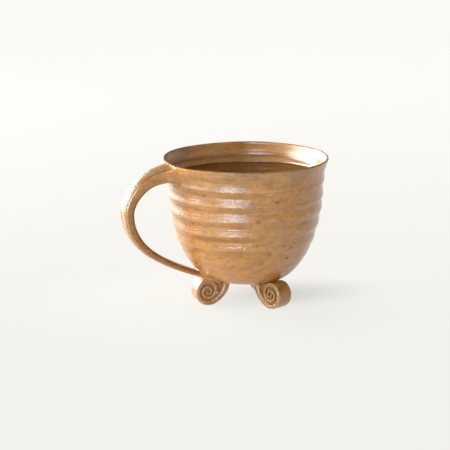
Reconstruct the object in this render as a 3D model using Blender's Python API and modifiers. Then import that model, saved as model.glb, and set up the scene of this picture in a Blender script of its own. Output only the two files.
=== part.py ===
"""Stoneware cup on three scroll feet, with a pulled strap handle.

Metres, +Z up, standing on z = 0, handle towards -X. The cup is put together as a
potter does it: a thrown bowl, a pulled strap for the handle, a rolled strap for each
foot, and a wad of soft clay that lutes each strap to the bowl.
"""

import math

import bmesh
import bpy
from mathutils import Vector
from mathutils.geometry import interpolate_bezier

# Thrown bowl, outside
RIM_RADIUS = 0.0510
BOWL_HEIGHT = 0.0762
BASE_RADIUS = 0.0195
BASE_PULL = 0.0082
BELLY_RADIUS = 0.0466
BELLY_RISE = 0.0467
BELLY_LEAN = math.radians(7.3)
BELLY_PULL_DOWN = 0.0309
BELLY_PULL_UP = 0.0080
LIP_FLARE = math.radians(26.0)
LIP_PULL = 0.0080

# Thrown bowl, inside
RIM_WALL = 0.0020
BELLY_WALL = 0.0040
FLOOR_THICKNESS = 0.0050
FLOOR_PULL = 0.0290
INNER_PULL_DOWN = 0.0275

# Throwing rings: a bulge whose lower edge is sharp, as (share of the pitch, share of the depth)
RING_FIRST_RISE = 0.0160
RING_PITCH = 0.0093
RING_DEPTH = 0.00045
RING_TOP_BAND = 0.0100
RING_SHAPE = ((-0.05, -0.9), (0.08, 1.0), (0.32, 0.35), (0.66, -0.7))
INNER_RING_LIFT = 0.0021
INNER_RING_DEPTH = 0.00035
INNER_RING_SHAPE = ((0.0, 0.9), (0.3, -0.2), (0.7, -0.8))

# Pulled strap handle
HANDLE_TOP_DROP = 0.0081
HANDLE_TOP_RISE_ANGLE = math.radians(9.0)
HANDLE_TOP_PULL = 0.0172
FINGER_ROOM = 0.0272
HANDLE_SIDE_DROP = 0.0218
HANDLE_SIDE_PULL_UP = 0.0076
HANDLE_SIDE_PULL_DOWN = 0.0235
HANDLE_LANDING_RISE = 0.0043
HANDLE_LANDING_SLOPE = math.radians(20.0)
HANDLE_LANDING_PULL = 0.0257
HANDLE_WIDTHS = (0.0184, 0.0131, 0.0092)
HANDLE_THICKNESSES = (0.0096, 0.0048, 0.0023)
HANDLE_CROWN = 0.0007
HANDLE_ROOT_EASE = 3.0
HANDLE_TAIL_EASE = 0.8

# Rolled strap feet
FOOT_ANGLES = {"left": 176.5, "right": 296.5, "back": 40.0}
FOOT_WIDTH = 0.0112
FOOT_ROOT_THICKNESS = 0.0046
FOOT_STRAP_THICKNESS = 0.0030
FOOT_STRAP_TAPER = 0.10
SCROLL_QUARTER_TURNS = 7.2
SCROLL_EYE_RADIUS = 0.0022
SCROLL_GAP = 0.0020
SCROLL_GAP_TAPER = 0.30
SCROLL_OVERHANG = 0.0062
SCROLL_HEADROOM = 0.0021
FOOT_SETBACK = 0.0119
FOOT_ROOT_PULL = 0.0048
FOOT_TOE_PULL = 0.0055
FOOT_FLAT_DEPTH = 0.0004

# Soft clay wads that lute the straps to the bowl
JOINT_GAP = 0.0003
HANDLE_WAD_LENGTH = 0.0045
HANDLE_WAD_SPREAD = (0.0040, 0.0014)
LANDING_WAD_LENGTH = 0.0065
LANDING_WAD_SPREAD = (0.0012, 0.0006)
WAD_SINK = 0.0040
FOOT_WAD_HEIGHT = 0.0018
FOOT_WAD_SPREAD = (0.0020, 0.0015)

# How finely the shapes are divided
BOWL_STEPS = 48
CURVE_POINTS = 80
HANDLE_STATIONS = 26
WAD_STATIONS = 5
FOOT_ROOT_STATIONS = 6
SCROLL_STATIONS_PER_QUARTER = 4
LOWER_WALL_POINTS = 10
INNER_LOWER_WALL_POINTS = 8
RING_CLEARANCE = 0.16
STRAP_EDGE_RADIUS = 0.0011
MOST_EDGE_ROUND = 0.36
SHARP_EDGE = math.radians(50.0)

# Glaze colours as they come off each piece, with one finish
BOWL_GLAZE = (0.480, 0.240, 0.098)
HANDLE_GLAZE = (0.420, 0.195, 0.072)
FOOT_GLAZE = (0.360, 0.165, 0.062)
WAD_GLAZE = (0.400, 0.190, 0.075)
GLAZE_ROUGHNESS = 0.28


def bezier(start, start_pull, end_pull, end, count=CURVE_POINTS):
    """Points of a curve in the (radius, height) plane, from its ends and its two pulls."""
    corners = [Vector((*point, 0.0)) for point in (start, start_pull, end_pull, end)]
    return [point.xy for point in interpolate_bezier(*corners, count)]


def towards(angle, length):
    return Vector((math.cos(angle), math.sin(angle))) * length


def bowl_side(base, base_pull, belly_radius, pull_down, lip):
    """One side of the bowl's wall without its rings, from base to lip, above the underside."""
    belly = Vector((belly_radius, BELLY_RISE))
    up = towards(math.pi / 2 - BELLY_LEAN, 1.0)
    flare = towards(math.pi / 2 - LIP_FLARE, LIP_PULL)
    lower = bezier(base, base + Vector((base_pull, 0.0)), belly - up * pull_down, belly)
    upper = bezier(belly, belly + up * BELLY_PULL_UP, lip - flare, lip)
    return lower + upper[1:]


def outer_side():
    lip = Vector((RIM_RADIUS, BOWL_HEIGHT - RIM_WALL / 2))
    return bowl_side(Vector((BASE_RADIUS, 0.0)), BASE_PULL, BELLY_RADIUS, BELLY_PULL_DOWN, lip)


def inner_side():
    lip = Vector((RIM_RADIUS - RIM_WALL, BOWL_HEIGHT - RIM_WALL / 2))
    floor = Vector((0.0, FLOOR_THICKNESS))
    return bowl_side(floor, FLOOR_PULL, BELLY_RADIUS - BELLY_WALL, INNER_PULL_DOWN, lip)


def read_off(side, value, known, wanted):
    """The curve's coordinate `wanted` where its coordinate `known` reaches a value."""
    for low, high in zip(side, side[1:]):
        if low[known] <= value <= high[known] and high[known] > low[known]:
            share = (value - low[known]) / (high[known] - low[known])
            return low[wanted] + share * (high[wanted] - low[wanted])
    return side[-1][wanted] if value > side[-1][known] else side[0][wanted]


def radius_at(side, rise):
    return read_off(side, rise, known=1, wanted=0)


def rise_at(side, radius):
    return read_off(side, radius, known=0, wanted=1)


def thrown_side(side, first_rise, shape, depth, plain_points):
    """A side of the wall with its throwing rings, from base to lip."""
    count = int((BOWL_HEIGHT - RING_TOP_BAND - RING_FIRST_RISE) / RING_PITCH) + 1
    ringed = []
    for ring in range(count):
        for share, swell in shape:
            rise = first_rise + (ring + share) * RING_PITCH
            ringed.append(Vector((radius_at(side, rise) + swell * depth, rise)))
    clear = RING_CLEARANCE * RING_PITCH
    below = [point for point in side if point.y < ringed[0].y - clear]
    above = [point for point in side if point.y > ringed[-1].y + clear]
    return thinned(below, plain_points) + ringed + thinned(above, plain_points // 2)


def lengths_along(points):
    """The length of a curve up to each of its points."""
    lengths = [0.0]
    for low, high in zip(points, points[1:]):
        lengths.append(lengths[-1] + (high - low).length)
    return lengths


def thinned(points, count):
    """A few of a curve's points, evenly along it, with both of its ends."""
    lengths = lengths_along(points)
    kept = []
    for step in range(count):
        target = lengths[-1] * step / (count - 1)
        nearest = min(range(len(points)), key=lambda i: abs(lengths[i] - target))
        kept.append(points[nearest])
    return kept


# The scroll's size follows from the strap that is rolled up
def strap_thickness(quarter):
    return FOOT_STRAP_THICKNESS * math.exp(-FOOT_STRAP_TAPER * quarter)


def scroll_radius(quarter):
    """Distance of the strap's middle from the eye, a number of quarter turns after the toe."""
    end = SCROLL_QUARTER_TURNS

    def wound(size, taper):
        return size / (4 * taper) * (math.exp(-taper * quarter) - math.exp(-taper * end))

    strap = wound(FOOT_STRAP_THICKNESS, FOOT_STRAP_TAPER)
    gap = wound(SCROLL_GAP, SCROLL_GAP_TAPER)
    return SCROLL_EYE_RADIUS + strap + gap


OUTER = outer_side()
INNER = inner_side()
EYE_RADIUS = BASE_RADIUS + SCROLL_OVERHANG
EYE_HEIGHT = scroll_radius(0) + strap_thickness(0) / 2 - FOOT_FLAT_DEPTH
SCROLL_TOP = EYE_HEIGHT + scroll_radius(2) + strap_thickness(2) / 2
BASE_HEIGHT = SCROLL_TOP + SCROLL_HEADROOM - rise_at(OUTER, EYE_RADIUS)
HANDLE_TOP_RISE = BOWL_HEIGHT - HANDLE_TOP_DROP
HANDLE_SIDE_RISE = HANDLE_TOP_RISE - HANDLE_SIDE_DROP
HANDLE_SIDE_RADIUS = radius_at(OUTER, HANDLE_SIDE_RISE) + FINGER_ROOM + HANDLE_THICKNESSES[1] / 2
HANDLE_REACH = HANDLE_SIDE_RADIUS + HANDLE_THICKNESSES[1] / 2 + HANDLE_CROWN
AXIS_X = (HANDLE_REACH - RIM_RADIUS) / 2


def clear_scene():
    for item in list(bpy.data.objects):
        bpy.data.objects.remove(item, do_unlink=True)


def new_collection(name):
    collection = bpy.data.collections.new(name)
    bpy.context.scene.collection.children.link(collection)
    return collection


def glaze(name, colour):
    material = bpy.data.materials.new(name)
    material.use_nodes = True
    shader = material.node_tree.nodes["Principled BSDF"]
    shader.inputs["Base Color"].default_value = (*colour, 1.0)
    shader.inputs["Roughness"].default_value = GLAZE_ROUGHNESS
    shader.inputs["Metallic"].default_value = 0.0
    return material


def add_object(name, mesh, collection, axis, turn=0.0):
    item = bpy.data.objects.new(name, mesh)
    item.parent = axis
    item.rotation_euler.z = turn
    collection.objects.link(item)
    return item


def turned(name, profile, collection, axis):
    """A solid of revolution from a profile that runs down its outer side."""
    mesh = bpy.data.meshes.new(name)
    edges = [(i, i + 1) for i in range(len(profile) - 1)]
    mesh.from_pydata([(point.x, 0.0, point.y) for point in profile], edges, [])
    item = add_object(name, mesh, collection, axis)
    screw = item.modifiers.new("turn", "SCREW")
    screw.steps = screw.render_steps = BOWL_STEPS
    screw.use_merge_vertices = True
    screw.merge_threshold = 0.0001
    screw.use_smooth_shade = True
    return item


def bowl_outside():
    """The bowl's outer side at its height above the ground, from lip to underside."""
    thrown = thrown_side(OUTER, RING_FIRST_RISE, RING_SHAPE, RING_DEPTH, LOWER_WALL_POINTS)
    return [Vector((point.x, point.y + BASE_HEIGHT)) for point in reversed(thrown)]


def make_bowl(collection, axis):
    first = RING_FIRST_RISE + INNER_RING_LIFT
    points = INNER_LOWER_WALL_POINTS
    inside = thrown_side(INNER, first, INNER_RING_SHAPE, -INNER_RING_DEPTH, points)
    inside = [Vector((point.x, point.y + BASE_HEIGHT)) for point in inside]
    middle = Vector((RIM_RADIUS - RIM_WALL / 2, BASE_HEIGHT + BOWL_HEIGHT - RIM_WALL / 2))
    lip = [middle + towards(math.radians(angle), RIM_WALL / 2) for angle in (135, 90, 45)]
    profile = inside + lip + bowl_outside() + [Vector((0.0, BASE_HEIGHT))]
    bowl = turned("cup_bowl", profile, collection, axis)
    bowl.data.materials.append(glaze("bowl_glaze", BOWL_GLAZE))
    return bowl


def make_wall_cutter(collection, axis):
    """The bowl filled solid and grown by the joint gap, to shape what lies on its wall."""
    wall = bowl_outside()
    grown = []
    for before, point, after in zip([wall[0]] + wall, wall, wall[1:] + [wall[-1]]):
        along = (after - before).normalized()
        grown.append(point + Vector((-along.y, along.x)) * JOINT_GAP)
    above = Vector((grown[0].x, grown[0].y + RIM_RADIUS))
    top_middle = Vector((0.0, above.y))
    foot_middle = Vector((0.0, grown[-1].y))
    profile = [top_middle, above, *grown, foot_middle]
    cutter = turned("bowl_wall_cutter", profile, collection, axis)
    cutter.hide_render = True
    cutter.display_type = "WIRE"
    return cutter


def strap_outline(width, thickness, crown):
    """A rounded strap's section as (across, outward) points, its outer face crowned."""
    round_off = min(STRAP_EDGE_RADIUS, MOST_EDGE_ROUND * thickness)
    corners = ((-1, 1, 90), (-1, -1, 180), (1, -1, 270), (1, 1, 0))
    outline = [Vector((0.0, thickness / 2 + crown))] if crown else []
    for side, face, first in corners:
        middle = Vector((side * (width / 2 - round_off), face * (thickness / 2 - round_off)))
        for turn in (0, 45, 90):
            outline.append(middle + towards(math.radians(first + turn), round_off))
    return outline


def strap_mesh(name, stations, crown=0.0):
    """A strap through stations of (centre, direction, width, thickness), in the XZ plane."""
    form = bmesh.new()
    rings = []
    for centre, direction, width, thickness in stations:
        outward = Vector((-direction.y, direction.x)).normalized()
        ring = []
        for across, off in strap_outline(width, thickness, crown):
            place = centre + outward * off
            ring.append(form.verts.new((place.x, across, place.y)))
        rings.append(ring)
    for ring, following in zip(rings, rings[1:]):
        for i in range(len(ring)):
            j = (i + 1) % len(ring)
            form.faces.new((ring[i], ring[j], following[j], following[i]))
    form.faces.new(reversed(rings[0]))
    form.faces.new(rings[-1])
    bmesh.ops.recalc_face_normals(form, faces=form.faces)
    mesh = bpy.data.meshes.new(name)
    form.to_mesh(mesh)
    form.free()
    mesh.shade_smooth()
    mesh.set_sharp_from_angle(angle=SHARP_EDGE)
    return mesh


def handle_curve():
    """The handle's middle line in (radius, height), from the rim down to its landing."""
    top = Vector((radius_at(OUTER, HANDLE_TOP_RISE), HANDLE_TOP_RISE))
    side = Vector((HANDLE_SIDE_RADIUS, HANDLE_SIDE_RISE))
    landing = Vector((radius_at(OUTER, HANDLE_LANDING_RISE), HANDLE_LANDING_RISE))
    top_pull = top + towards(HANDLE_TOP_RISE_ANGLE, HANDLE_TOP_PULL)
    side_pull = side + Vector((0.0, HANDLE_SIDE_PULL_UP))
    down_pull = side - Vector((0.0, HANDLE_SIDE_PULL_DOWN))
    landing_pull = landing + towards(HANDLE_LANDING_SLOPE, HANDLE_LANDING_PULL)
    points = bezier(top, top_pull, side_pull, side)
    points += bezier(side, down_pull, landing_pull, landing)[1:]
    return [Vector((point.x, point.y + BASE_HEIGHT)) for point in points]


def handle_size(sizes, share):
    """A handle size at a share of its length, from those at its top, middle and bottom."""
    top, middle, bottom = sizes
    if share < 0.5:
        return middle + (top - middle) * (1 - 2 * share) ** HANDLE_ROOT_EASE
    return middle + (bottom - middle) * (2 * share - 1) ** HANDLE_TAIL_EASE


def stretch_of(curve, start, end, count):
    """Places, directions and shares at even steps along a curve, trimmed at both ends."""
    lengths = lengths_along(curve)
    whole = lengths[-1]
    found = []
    for step in range(count):
        target = start + (whole - end - start) * step / (count - 1)
        i = max(k for k in range(len(curve) - 1) if lengths[k] <= target)
        direction = (curve[i + 1] - curve[i]).normalized()
        place = curve[i] + direction * (target - lengths[i])
        found.append((place, direction, target / whole))
    return found


def handle_stations(curve, start, end, count):
    """Sized stations along the handle, trimmed at both ends."""
    stations = []
    for place, direction, share in stretch_of(curve, start, end, count):
        width = handle_size(HANDLE_WIDTHS, share)
        thickness = handle_size(HANDLE_THICKNESSES, share)
        stations.append((place, direction, width, thickness))
    return stations


def make_handle(collection, axis):
    curve = handle_curve()
    start = HANDLE_WAD_LENGTH + JOINT_GAP
    end = LANDING_WAD_LENGTH + JOINT_GAP
    stations = handle_stations(curve, start, end, HANDLE_STATIONS)
    mesh = strap_mesh("handle", stations, HANDLE_CROWN)
    handle = add_object("handle", mesh, collection, axis, turn=math.pi)
    handle.data.materials.append(glaze("handle_glaze", HANDLE_GLAZE))
    return handle


def wad_stations(end_station, inwards, length, spread, sink):
    """Stations from a strap's end to inside the wall, spreading as the wad is smeared out."""
    place, _, width, thickness = end_station
    stations = []
    for step in range(WAD_STATIONS + 1):
        share = step / WAD_STATIONS
        wide, thick = (2 * size * share**2 for size in spread)
        centre = place + inwards * length * share
        stations.append((centre, inwards, width + wide, thickness + thick))
    deepest = (place + inwards * (length + sink), *stations[-1][1:])
    return [*stations, deepest]


def make_handle_wads(collection, cutters, axis):
    curve = handle_curve()
    cutter = make_wall_cutter(cutters, axis)
    ends = handle_stations(curve, HANDLE_WAD_LENGTH, LANDING_WAD_LENGTH, 2)
    wads = {
        "handle_top_wad": (ends[0], -ends[0][1], HANDLE_WAD_LENGTH, HANDLE_WAD_SPREAD),
        "handle_landing_wad": (ends[1], ends[1][1], LANDING_WAD_LENGTH, LANDING_WAD_SPREAD),
    }
    for name, (end_station, inwards, wad_length, spread) in wads.items():
        stations = wad_stations(end_station, inwards, wad_length, spread, WAD_SINK)
        wad = add_object(name, strap_mesh(name, stations), collection, axis, turn=math.pi)
        wad.data.materials.append(glaze(name.replace("wad", "glaze"), WAD_GLAZE))
        cut = wad.modifiers.new("seat on the wall", "BOOLEAN")
        cut.object = cutter
        cut.operation = "DIFFERENCE"
        cut.solver = "EXACT"


def foot_stations():
    """Stations of a rolled strap, from its root under the bowl into the eye of its scroll."""
    eye = Vector((EYE_RADIUS, EYE_HEIGHT))
    root_top = BASE_HEIGHT - FOOT_WAD_HEIGHT - 2 * JOINT_GAP
    root = Vector((EYE_RADIUS - FOOT_SETBACK, root_top))
    toe = eye - Vector((0.0, scroll_radius(0)))
    root_pull = root - Vector((0.0, FOOT_ROOT_PULL))
    toe_pull = toe - Vector((FOOT_TOE_PULL, 0.0))
    curve = bezier(root, root_pull, toe_pull, toe)
    stations = []
    for place, direction, share in stretch_of(curve, 0.0, 0.0, FOOT_ROOT_STATIONS):
        thickness = FOOT_ROOT_THICKNESS + (strap_thickness(0) - FOOT_ROOT_THICKNESS) * share
        stations.append((place, direction, FOOT_WIDTH, thickness))
    stations[0] = (root, Vector((0.0, -1.0)), FOOT_WIDTH, FOOT_ROOT_THICKNESS)
    stations[-1] = (toe, Vector((1.0, 0.0)), FOOT_WIDTH, strap_thickness(0))
    steps = round(SCROLL_QUARTER_TURNS * SCROLL_STATIONS_PER_QUARTER)
    for step in range(1, steps + 1):
        quarter = SCROLL_QUARTER_TURNS * step / steps
        angle = math.pi / 2 * (quarter - 1)
        place = eye + towards(angle, scroll_radius(quarter))
        direction = towards(angle + math.pi / 2, 1.0)
        stations.append((place, direction, FOOT_WIDTH, strap_thickness(quarter)))
    return stations


def foot_mesh():
    """One foot, with the flat that it stands on."""
    mesh = strap_mesh("scroll_foot", foot_stations())
    form = bmesh.new()
    form.from_mesh(mesh)
    everything = form.verts[:] + form.edges[:] + form.faces[:]
    ground = Vector((0.0, 0.0, 0.0))
    up = Vector((0.0, 0.0, 1.0))
    bmesh.ops.bisect_plane(form, geom=everything, plane_co=ground, plane_no=up, clear_inner=True)
    rim = [edge for edge in form.edges if edge.is_boundary]
    bmesh.ops.contextual_create(form, geom=rim)
    bmesh.ops.recalc_face_normals(form, faces=form.faces)
    form.to_mesh(mesh)
    form.free()
    mesh.set_sharp_from_angle(angle=SHARP_EDGE)
    return mesh


def foot_wad_mesh():
    """The wad between the bowl's flat underside and the root of a foot."""
    top = BASE_HEIGHT - JOINT_GAP
    down = Vector((0.0, -1.0))
    stations = []
    for step in range(WAD_STATIONS + 1):
        share = step / WAD_STATIONS
        centre = Vector((EYE_RADIUS - FOOT_SETBACK, top - FOOT_WAD_HEIGHT * share))
        wide, thick = (2 * size * (1 - share) ** 2 for size in FOOT_WAD_SPREAD)
        stations.append((centre, down, FOOT_WIDTH + wide, FOOT_ROOT_THICKNESS + thick))
    return strap_mesh("foot_wad", stations)


def make_feet(collection, axis):
    foot = foot_mesh()
    wad = foot_wad_mesh()
    foot.materials.append(glaze("foot_glaze", FOOT_GLAZE))
    wad.materials.append(glaze("foot_wad_glaze", WAD_GLAZE))
    for side, angle in FOOT_ANGLES.items():
        turn = math.radians(angle)
        add_object(f"scroll_foot_{side}", foot, collection, axis, turn)
        add_object(f"foot_wad_{side}", wad, collection, axis, turn)


def main():
    clear_scene()
    collection = new_collection("tripod_cup")
    cutters = new_collection("cutters")
    cutters.hide_render = True
    axis = bpy.data.objects.new("turning_axis", None)
    axis.location.x = AXIS_X
    collection.objects.link(axis)
    make_bowl(collection, axis)
    make_handle(collection, axis)
    make_handle_wads(collection, cutters, axis)
    make_feet(collection, axis)


main()
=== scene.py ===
"""Glazed stoneware cup on three scroll feet, dressed for its portrait.

Laid out as a Blender add-on. Metres, +Z up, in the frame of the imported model. Angles round
the bowl are in degrees from +X, seen from above, so the handle is at 180.
"""

import math

import bpy
import numpy as np
from bpy.props import FloatProperty, FloatVectorProperty, IntProperty, PointerProperty
from bpy.types import Operator, Panel, PropertyGroup
from mathutils import Matrix, Vector


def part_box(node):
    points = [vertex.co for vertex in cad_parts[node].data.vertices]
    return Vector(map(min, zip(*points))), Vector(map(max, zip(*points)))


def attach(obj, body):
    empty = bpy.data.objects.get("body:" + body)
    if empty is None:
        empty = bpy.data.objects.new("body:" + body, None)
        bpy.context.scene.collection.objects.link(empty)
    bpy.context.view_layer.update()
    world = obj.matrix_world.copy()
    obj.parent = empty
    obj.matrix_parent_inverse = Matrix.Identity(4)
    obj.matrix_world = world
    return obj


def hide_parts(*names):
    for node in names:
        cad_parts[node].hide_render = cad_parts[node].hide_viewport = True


bl_info = {
    "name": "Scroll-foot Cup",
    "version": (1, 0, 0),
    "blender": (4, 5, 0),
    "location": "3D View > Sidebar > Cup",
    "description": "Throws, handles, foots and glazes a stoneware cup around its packed frame",
    "category": "Add Mesh",
}

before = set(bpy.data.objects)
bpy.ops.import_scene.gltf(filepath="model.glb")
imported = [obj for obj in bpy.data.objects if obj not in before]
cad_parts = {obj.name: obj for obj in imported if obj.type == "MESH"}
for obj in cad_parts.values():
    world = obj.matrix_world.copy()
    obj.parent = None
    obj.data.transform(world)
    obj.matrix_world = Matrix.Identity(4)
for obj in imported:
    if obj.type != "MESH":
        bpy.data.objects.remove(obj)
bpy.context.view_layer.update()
BODY = "root"

# What the frame says of the cup
BOWL_LOW, BOWL_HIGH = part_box("cup_bowl")
TURNING_X = (BOWL_LOW.x + BOWL_HIGH.x) / 2
RIM_RADIUS = (BOWL_HIGH.x - BOWL_LOW.x) / 2
LIP_HEIGHT = BOWL_HIGH.z
UNDERSIDE = BOWL_LOW.z

# Where the feet and the handle stand round the bowl
FOOT_ANGLES = {"left": 176.5, "right": 296.5, "back": 40.0}
HANDLE_ANGLE = 180.0

# Throwing rings from the lowest up: how strongly each one stands out, and how plain its line is
RING_STRENGTHS = (0.34, 0.76, 1.00, 1.08, 1.02, 0.76, 0.30)
RING_LINES = (0.05, 0.12, 0.18, 0.25, 0.50, 0.70, 0.10)
INNER_RING_STRENGTHS = (0.3, 0.4, 0.5, 0.7, 0.8, 0.0, 0.0)
INNER_RING_LINES = (0.1, 0.2, 0.3, 0.4, 0.5, 0.9, 0.0)

# Places round the bowl: the direction of each, and how far it reaches to either side
QUIET_RINGS = (292.0, 42.0)
RINGS_BY_HANDLE = (182.0, 22.0)
THUMBED_WALL = (HANDLE_ANGLE + 3.0, 19.0)
LIP_DIP = (200.0, 26.0)
PAINTED_SHADE_LIP = (175.0, 42.0)
FLANK_PAINTED_HIGHLIGHT = (190.0, 20.0)
STRONG_RINGS = (240.0, 40.0)
LIT_INSIDE = (12.0, 38.0)
PAINTED_LIGHT_INSIDE = (14.0, 32.0)
PAINTED_LIGHT_INSIDE_FAR = (150.0, 26.0)

# Relief of the inner wall. The ledge lies this far below the lip. Each roll and trough above it has
# the mark that it adds to, its depth below the lip, half its height, how much it adds, and its side.
LEDGE_DROP = 0.0116
INNER_RELIEF = (
    ("swell", 0.0037, 0.0016, 0.13, "all round"),
    ("swell", 0.0077, 0.0009, -0.30, "in shade"),
    ("swell", 0.0090, 0.0006, -0.30, "in light"),
    # Painted shade: the valley and line rows darken a band and a line, weakest on the lit side.
    ("valley", 0.0075, 0.0012, 2.0, "mostly in shade"),
    ("valley", 0.0010, 0.0012, 0.8, "mostly in shade"),
    ("line", 0.0075, 0.0010, 0.30, "mostly in shade"),
    # Painted highlight: a pale band on the roll just above the ledge.
    ("crest", 0.0104, 0.0009, 1.4, "all round"),
)
# Lighter rings in the painted shade deep in the cup: how far below the lip, half the height, and how pale
PALE_INNER_RINGS = ((0.0133, 0.0004, 0.25), (0.0160, 0.0012, 0.36))

# Iron spots that bled through the glaze: angle, height, width, and how dark
IRON_SPOTS = (
    (273, 0.0715, 0.0017, 0.85),
    (218, 0.0745, 0.0021, 0.50),
    (196, 0.0725, 0.0015, 0.75),
    (255, 0.0700, 0.0034, 0.40),
    (224, 0.0435, 0.0022, 0.45),
    (226, 0.0355, 0.0018, 0.40),
    (259, 0.0445, 0.0015, 0.55),
    (282, 0.0430, 0.0017, 0.45),
    (290, 0.0415, 0.0017, 0.75),
    (293, 0.0435, 0.0012, 0.55),
    (270, 0.0385, 0.0022, 0.45),
    (280, 0.0380, 0.0010, 0.55),
    (289, 0.0345, 0.0016, 0.85),
    (308, 0.0625, 0.0020, 0.45),
    (259, 0.0600, 0.0024, 0.55),
    (233, 0.0335, 0.0013, 0.60),
    (238, 0.0300, 0.0015, 0.45),
    (246, 0.0405, 0.0012, 0.50),
    (206, 0.0570, 0.0016, 0.55),
    (211, 0.0655, 0.0014, 0.45),
    (300, 0.0560, 0.0026, 0.40),
    (286, 0.0620, 0.0018, 0.35),
    (264, 0.0325, 0.0024, 0.35),
    (120, 0.0660, 0.0020, 0.60),
    (75, 0.0480, 0.0016, 0.70),
    (20, 0.0740, 0.0019, 0.55),
    (340, 0.0540, 0.0015, 0.60),
)


def length_prop(name, description, default):
    return FloatProperty(name=name, description=description, default=default, unit="LENGTH")


def lengths_prop(name, description, default):
    return FloatVectorProperty(name=name, description=description, default=default, unit="LENGTH", size=3)


def angle_prop(name, description, degrees):
    return FloatProperty(
        name=name, description=description, default=math.radians(degrees), subtype="ANGLE")


def number_prop(name, description, default):
    return FloatProperty(name=name, description=description, default=default)


def share_prop(name, description, default):
    return FloatProperty(name=name, description=description, default=default, min=0.0, max=1.0)


def colour_prop(name, description, default):
    return FloatVectorProperty(
        name=name, description=description, default=default, subtype="COLOR", size=3, min=0.0, max=1.0)


class CupBowlSettings(PropertyGroup):
    base_radius: length_prop("Base radius", "Radius of the flat underside", 0.0195)
    base_pull: length_prop("Base pull", "How long the wall runs flat before it turns up", 0.0090)
    belly_radius: length_prop("Belly radius", "Outer radius at the belly", 0.0469)
    belly_rise: length_prop("Belly rise", "Height of the belly above the underside", 0.0467)
    belly_lean: angle_prop("Belly lean", "How far the wall leans out at the belly", 7.3)
    belly_pull_down: length_prop(
        "Belly pull down", "How long the wall keeps its lean below the belly", 0.0309)
    belly_pull_up: length_prop(
        "Belly pull up", "How long the wall keeps its lean above the belly", 0.0080)
    lip_flare: angle_prop("Lip flare", "How far the lip leans out", 26.0)
    lip_pull: length_prop("Lip pull", "How long the lip keeps its flare", 0.0080)
    rim_wall: length_prop("Rim wall", "Thickness of the lip", 0.0018)
    belly_wall: length_prop("Belly wall", "Thickness of the wall at the belly", 0.0040)
    floor_thickness: length_prop("Floor thickness", "Thickness of the floor", 0.0050)
    floor_pull: length_prop("Floor pull", "How far the floor runs flat from the middle", 0.0290)
    inner_pull_down: length_prop(
        "Inner pull down", "How long the inner wall keeps its lean below the belly", 0.0275)
    first_ring: length_prop(
        "First ring", "Height of the lowest throwing ring above the underside", 0.0160)
    ring_pitch: length_prop("Ring pitch", "Height from one throwing ring to the next", 0.0093)
    ring_depth: length_prop("Ring depth", "How far a ring stands out of the wall", 0.00047)
    inner_ring_lift: length_prop("Inner ring lift", "How much higher the rings are inside", 0.0021)
    inner_ring_depth: length_prop(
        "Inner ring depth", "How far a ring stands out of the inner wall", 0.00044)
    lip_dip: length_prop("Lip dip", "How far the lip dips beside the handle", 0.0009)
    rows: IntProperty(name="Rows", description="Rows of faces up the outer wall", default=230)
    columns: IntProperty(name="Columns", description="Faces round the bowl", default=384)


class CupHandleSettings(PropertyGroup):
    top_drop: length_prop("Top drop", "Depth of the upper joint below the lip", 0.0087)
    top_rise: angle_prop("Top rise", "Angle at which the strap leaves the wall", 9.0)
    top_pull: length_prop("Top pull", "How long the strap keeps that angle", 0.0172)
    finger_room: length_prop("Finger room", "Gap between the wall and the strap's middle", 0.0272)
    side_drop: length_prop("Side drop", "Depth of the strap's widest reach below its upper joint", 0.0212)
    side_pull_up: length_prop(
        "Side pull up", "How long the strap stays upright above its widest reach", 0.0076)
    side_pull_down: length_prop(
        "Side pull down", "How long the strap stays upright below its widest reach", 0.0235)
    landing_rise: length_prop("Landing rise", "Height of the lower joint above the underside", 0.0039)
    landing_slope: angle_prop("Landing slope", "Angle at which the strap lands", 20.0)
    landing_pull: length_prop("Landing pull", "How long the strap keeps that angle", 0.0257)
    widths: lengths_prop(
        "Widths", "Width at the top, the middle and the bottom", (0.0184, 0.0131, 0.0092))
    thicknesses: lengths_prop(
        "Thicknesses", "Thickness at the top, the middle and the bottom", (0.0084, 0.0048, 0.0030))
    crown: length_prop("Crown", "How far the outer face swells", 0.0008)
    dome: length_prop("Dome", "How much more the outer face swells near the upper joint", 0.0013)
    flute_depth: length_prop("Flute depth", "Depth of the finger grooves along the outer face", 0.00030)
    top_reach: length_prop("Top reach", "Length of the luting at the upper joint", 0.0082)
    landing_reach: length_prop("Landing reach", "Length of the luting at the lower joint", 0.0065)


class CupFootSettings(PropertyGroup):
    width: length_prop("Width", "Width of the rolled strap", 0.0116)
    root_thickness: length_prop(
        "Root thickness", "Thickness of the strap where it leaves the bowl", 0.0046)
    strap_thickness: length_prop("Strap thickness", "Thickness of the strap at the toe", 0.0030)
    strap_taper: number_prop("Strap taper", "How fast the strap thins along the roll", 0.10)
    quarter_turns: number_prop("Quarter turns", "Quarter turns from the toe to the eye", 7.2)
    eye_radius: length_prop("Eye radius", "Radius of the innermost bend", 0.0022)
    gap: length_prop("Gap", "Room between the turns at the toe", 0.0020)
    gap_taper: number_prop("Gap taper", "How fast the room closes along the roll", 0.30)
    overhang: length_prop("Overhang", "How far the eye lies beyond the flat underside", 0.0062)
    setback: length_prop("Setback", "How far the root lies inside the eye", 0.0119)
    root_pull: length_prop("Root pull", "How long the strap runs straight down", 0.0048)
    toe_pull: length_prop("Toe pull", "How long the strap runs level before the toe", 0.0055)
    flat_depth: length_prop("Flat depth", "How much of the toe is flattened where it stands", 0.0004)
    press: length_prop("Press", "How far the roll was squeezed up against the bowl", 0.0011)
    tip_turns: number_prop("Tip turns", "Quarter turns by which the strap's tip curls into the eye", 1.9)
    tip_radius: length_prop("Tip radius", "Radius of the curled tip", 0.00080)
    groove_depth: length_prop("Groove depth", "How deep the groove between the turns is", 0.0016)
    luting_height: length_prop("Luting height", "Height of the soft clay over the root", 0.0024)


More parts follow.
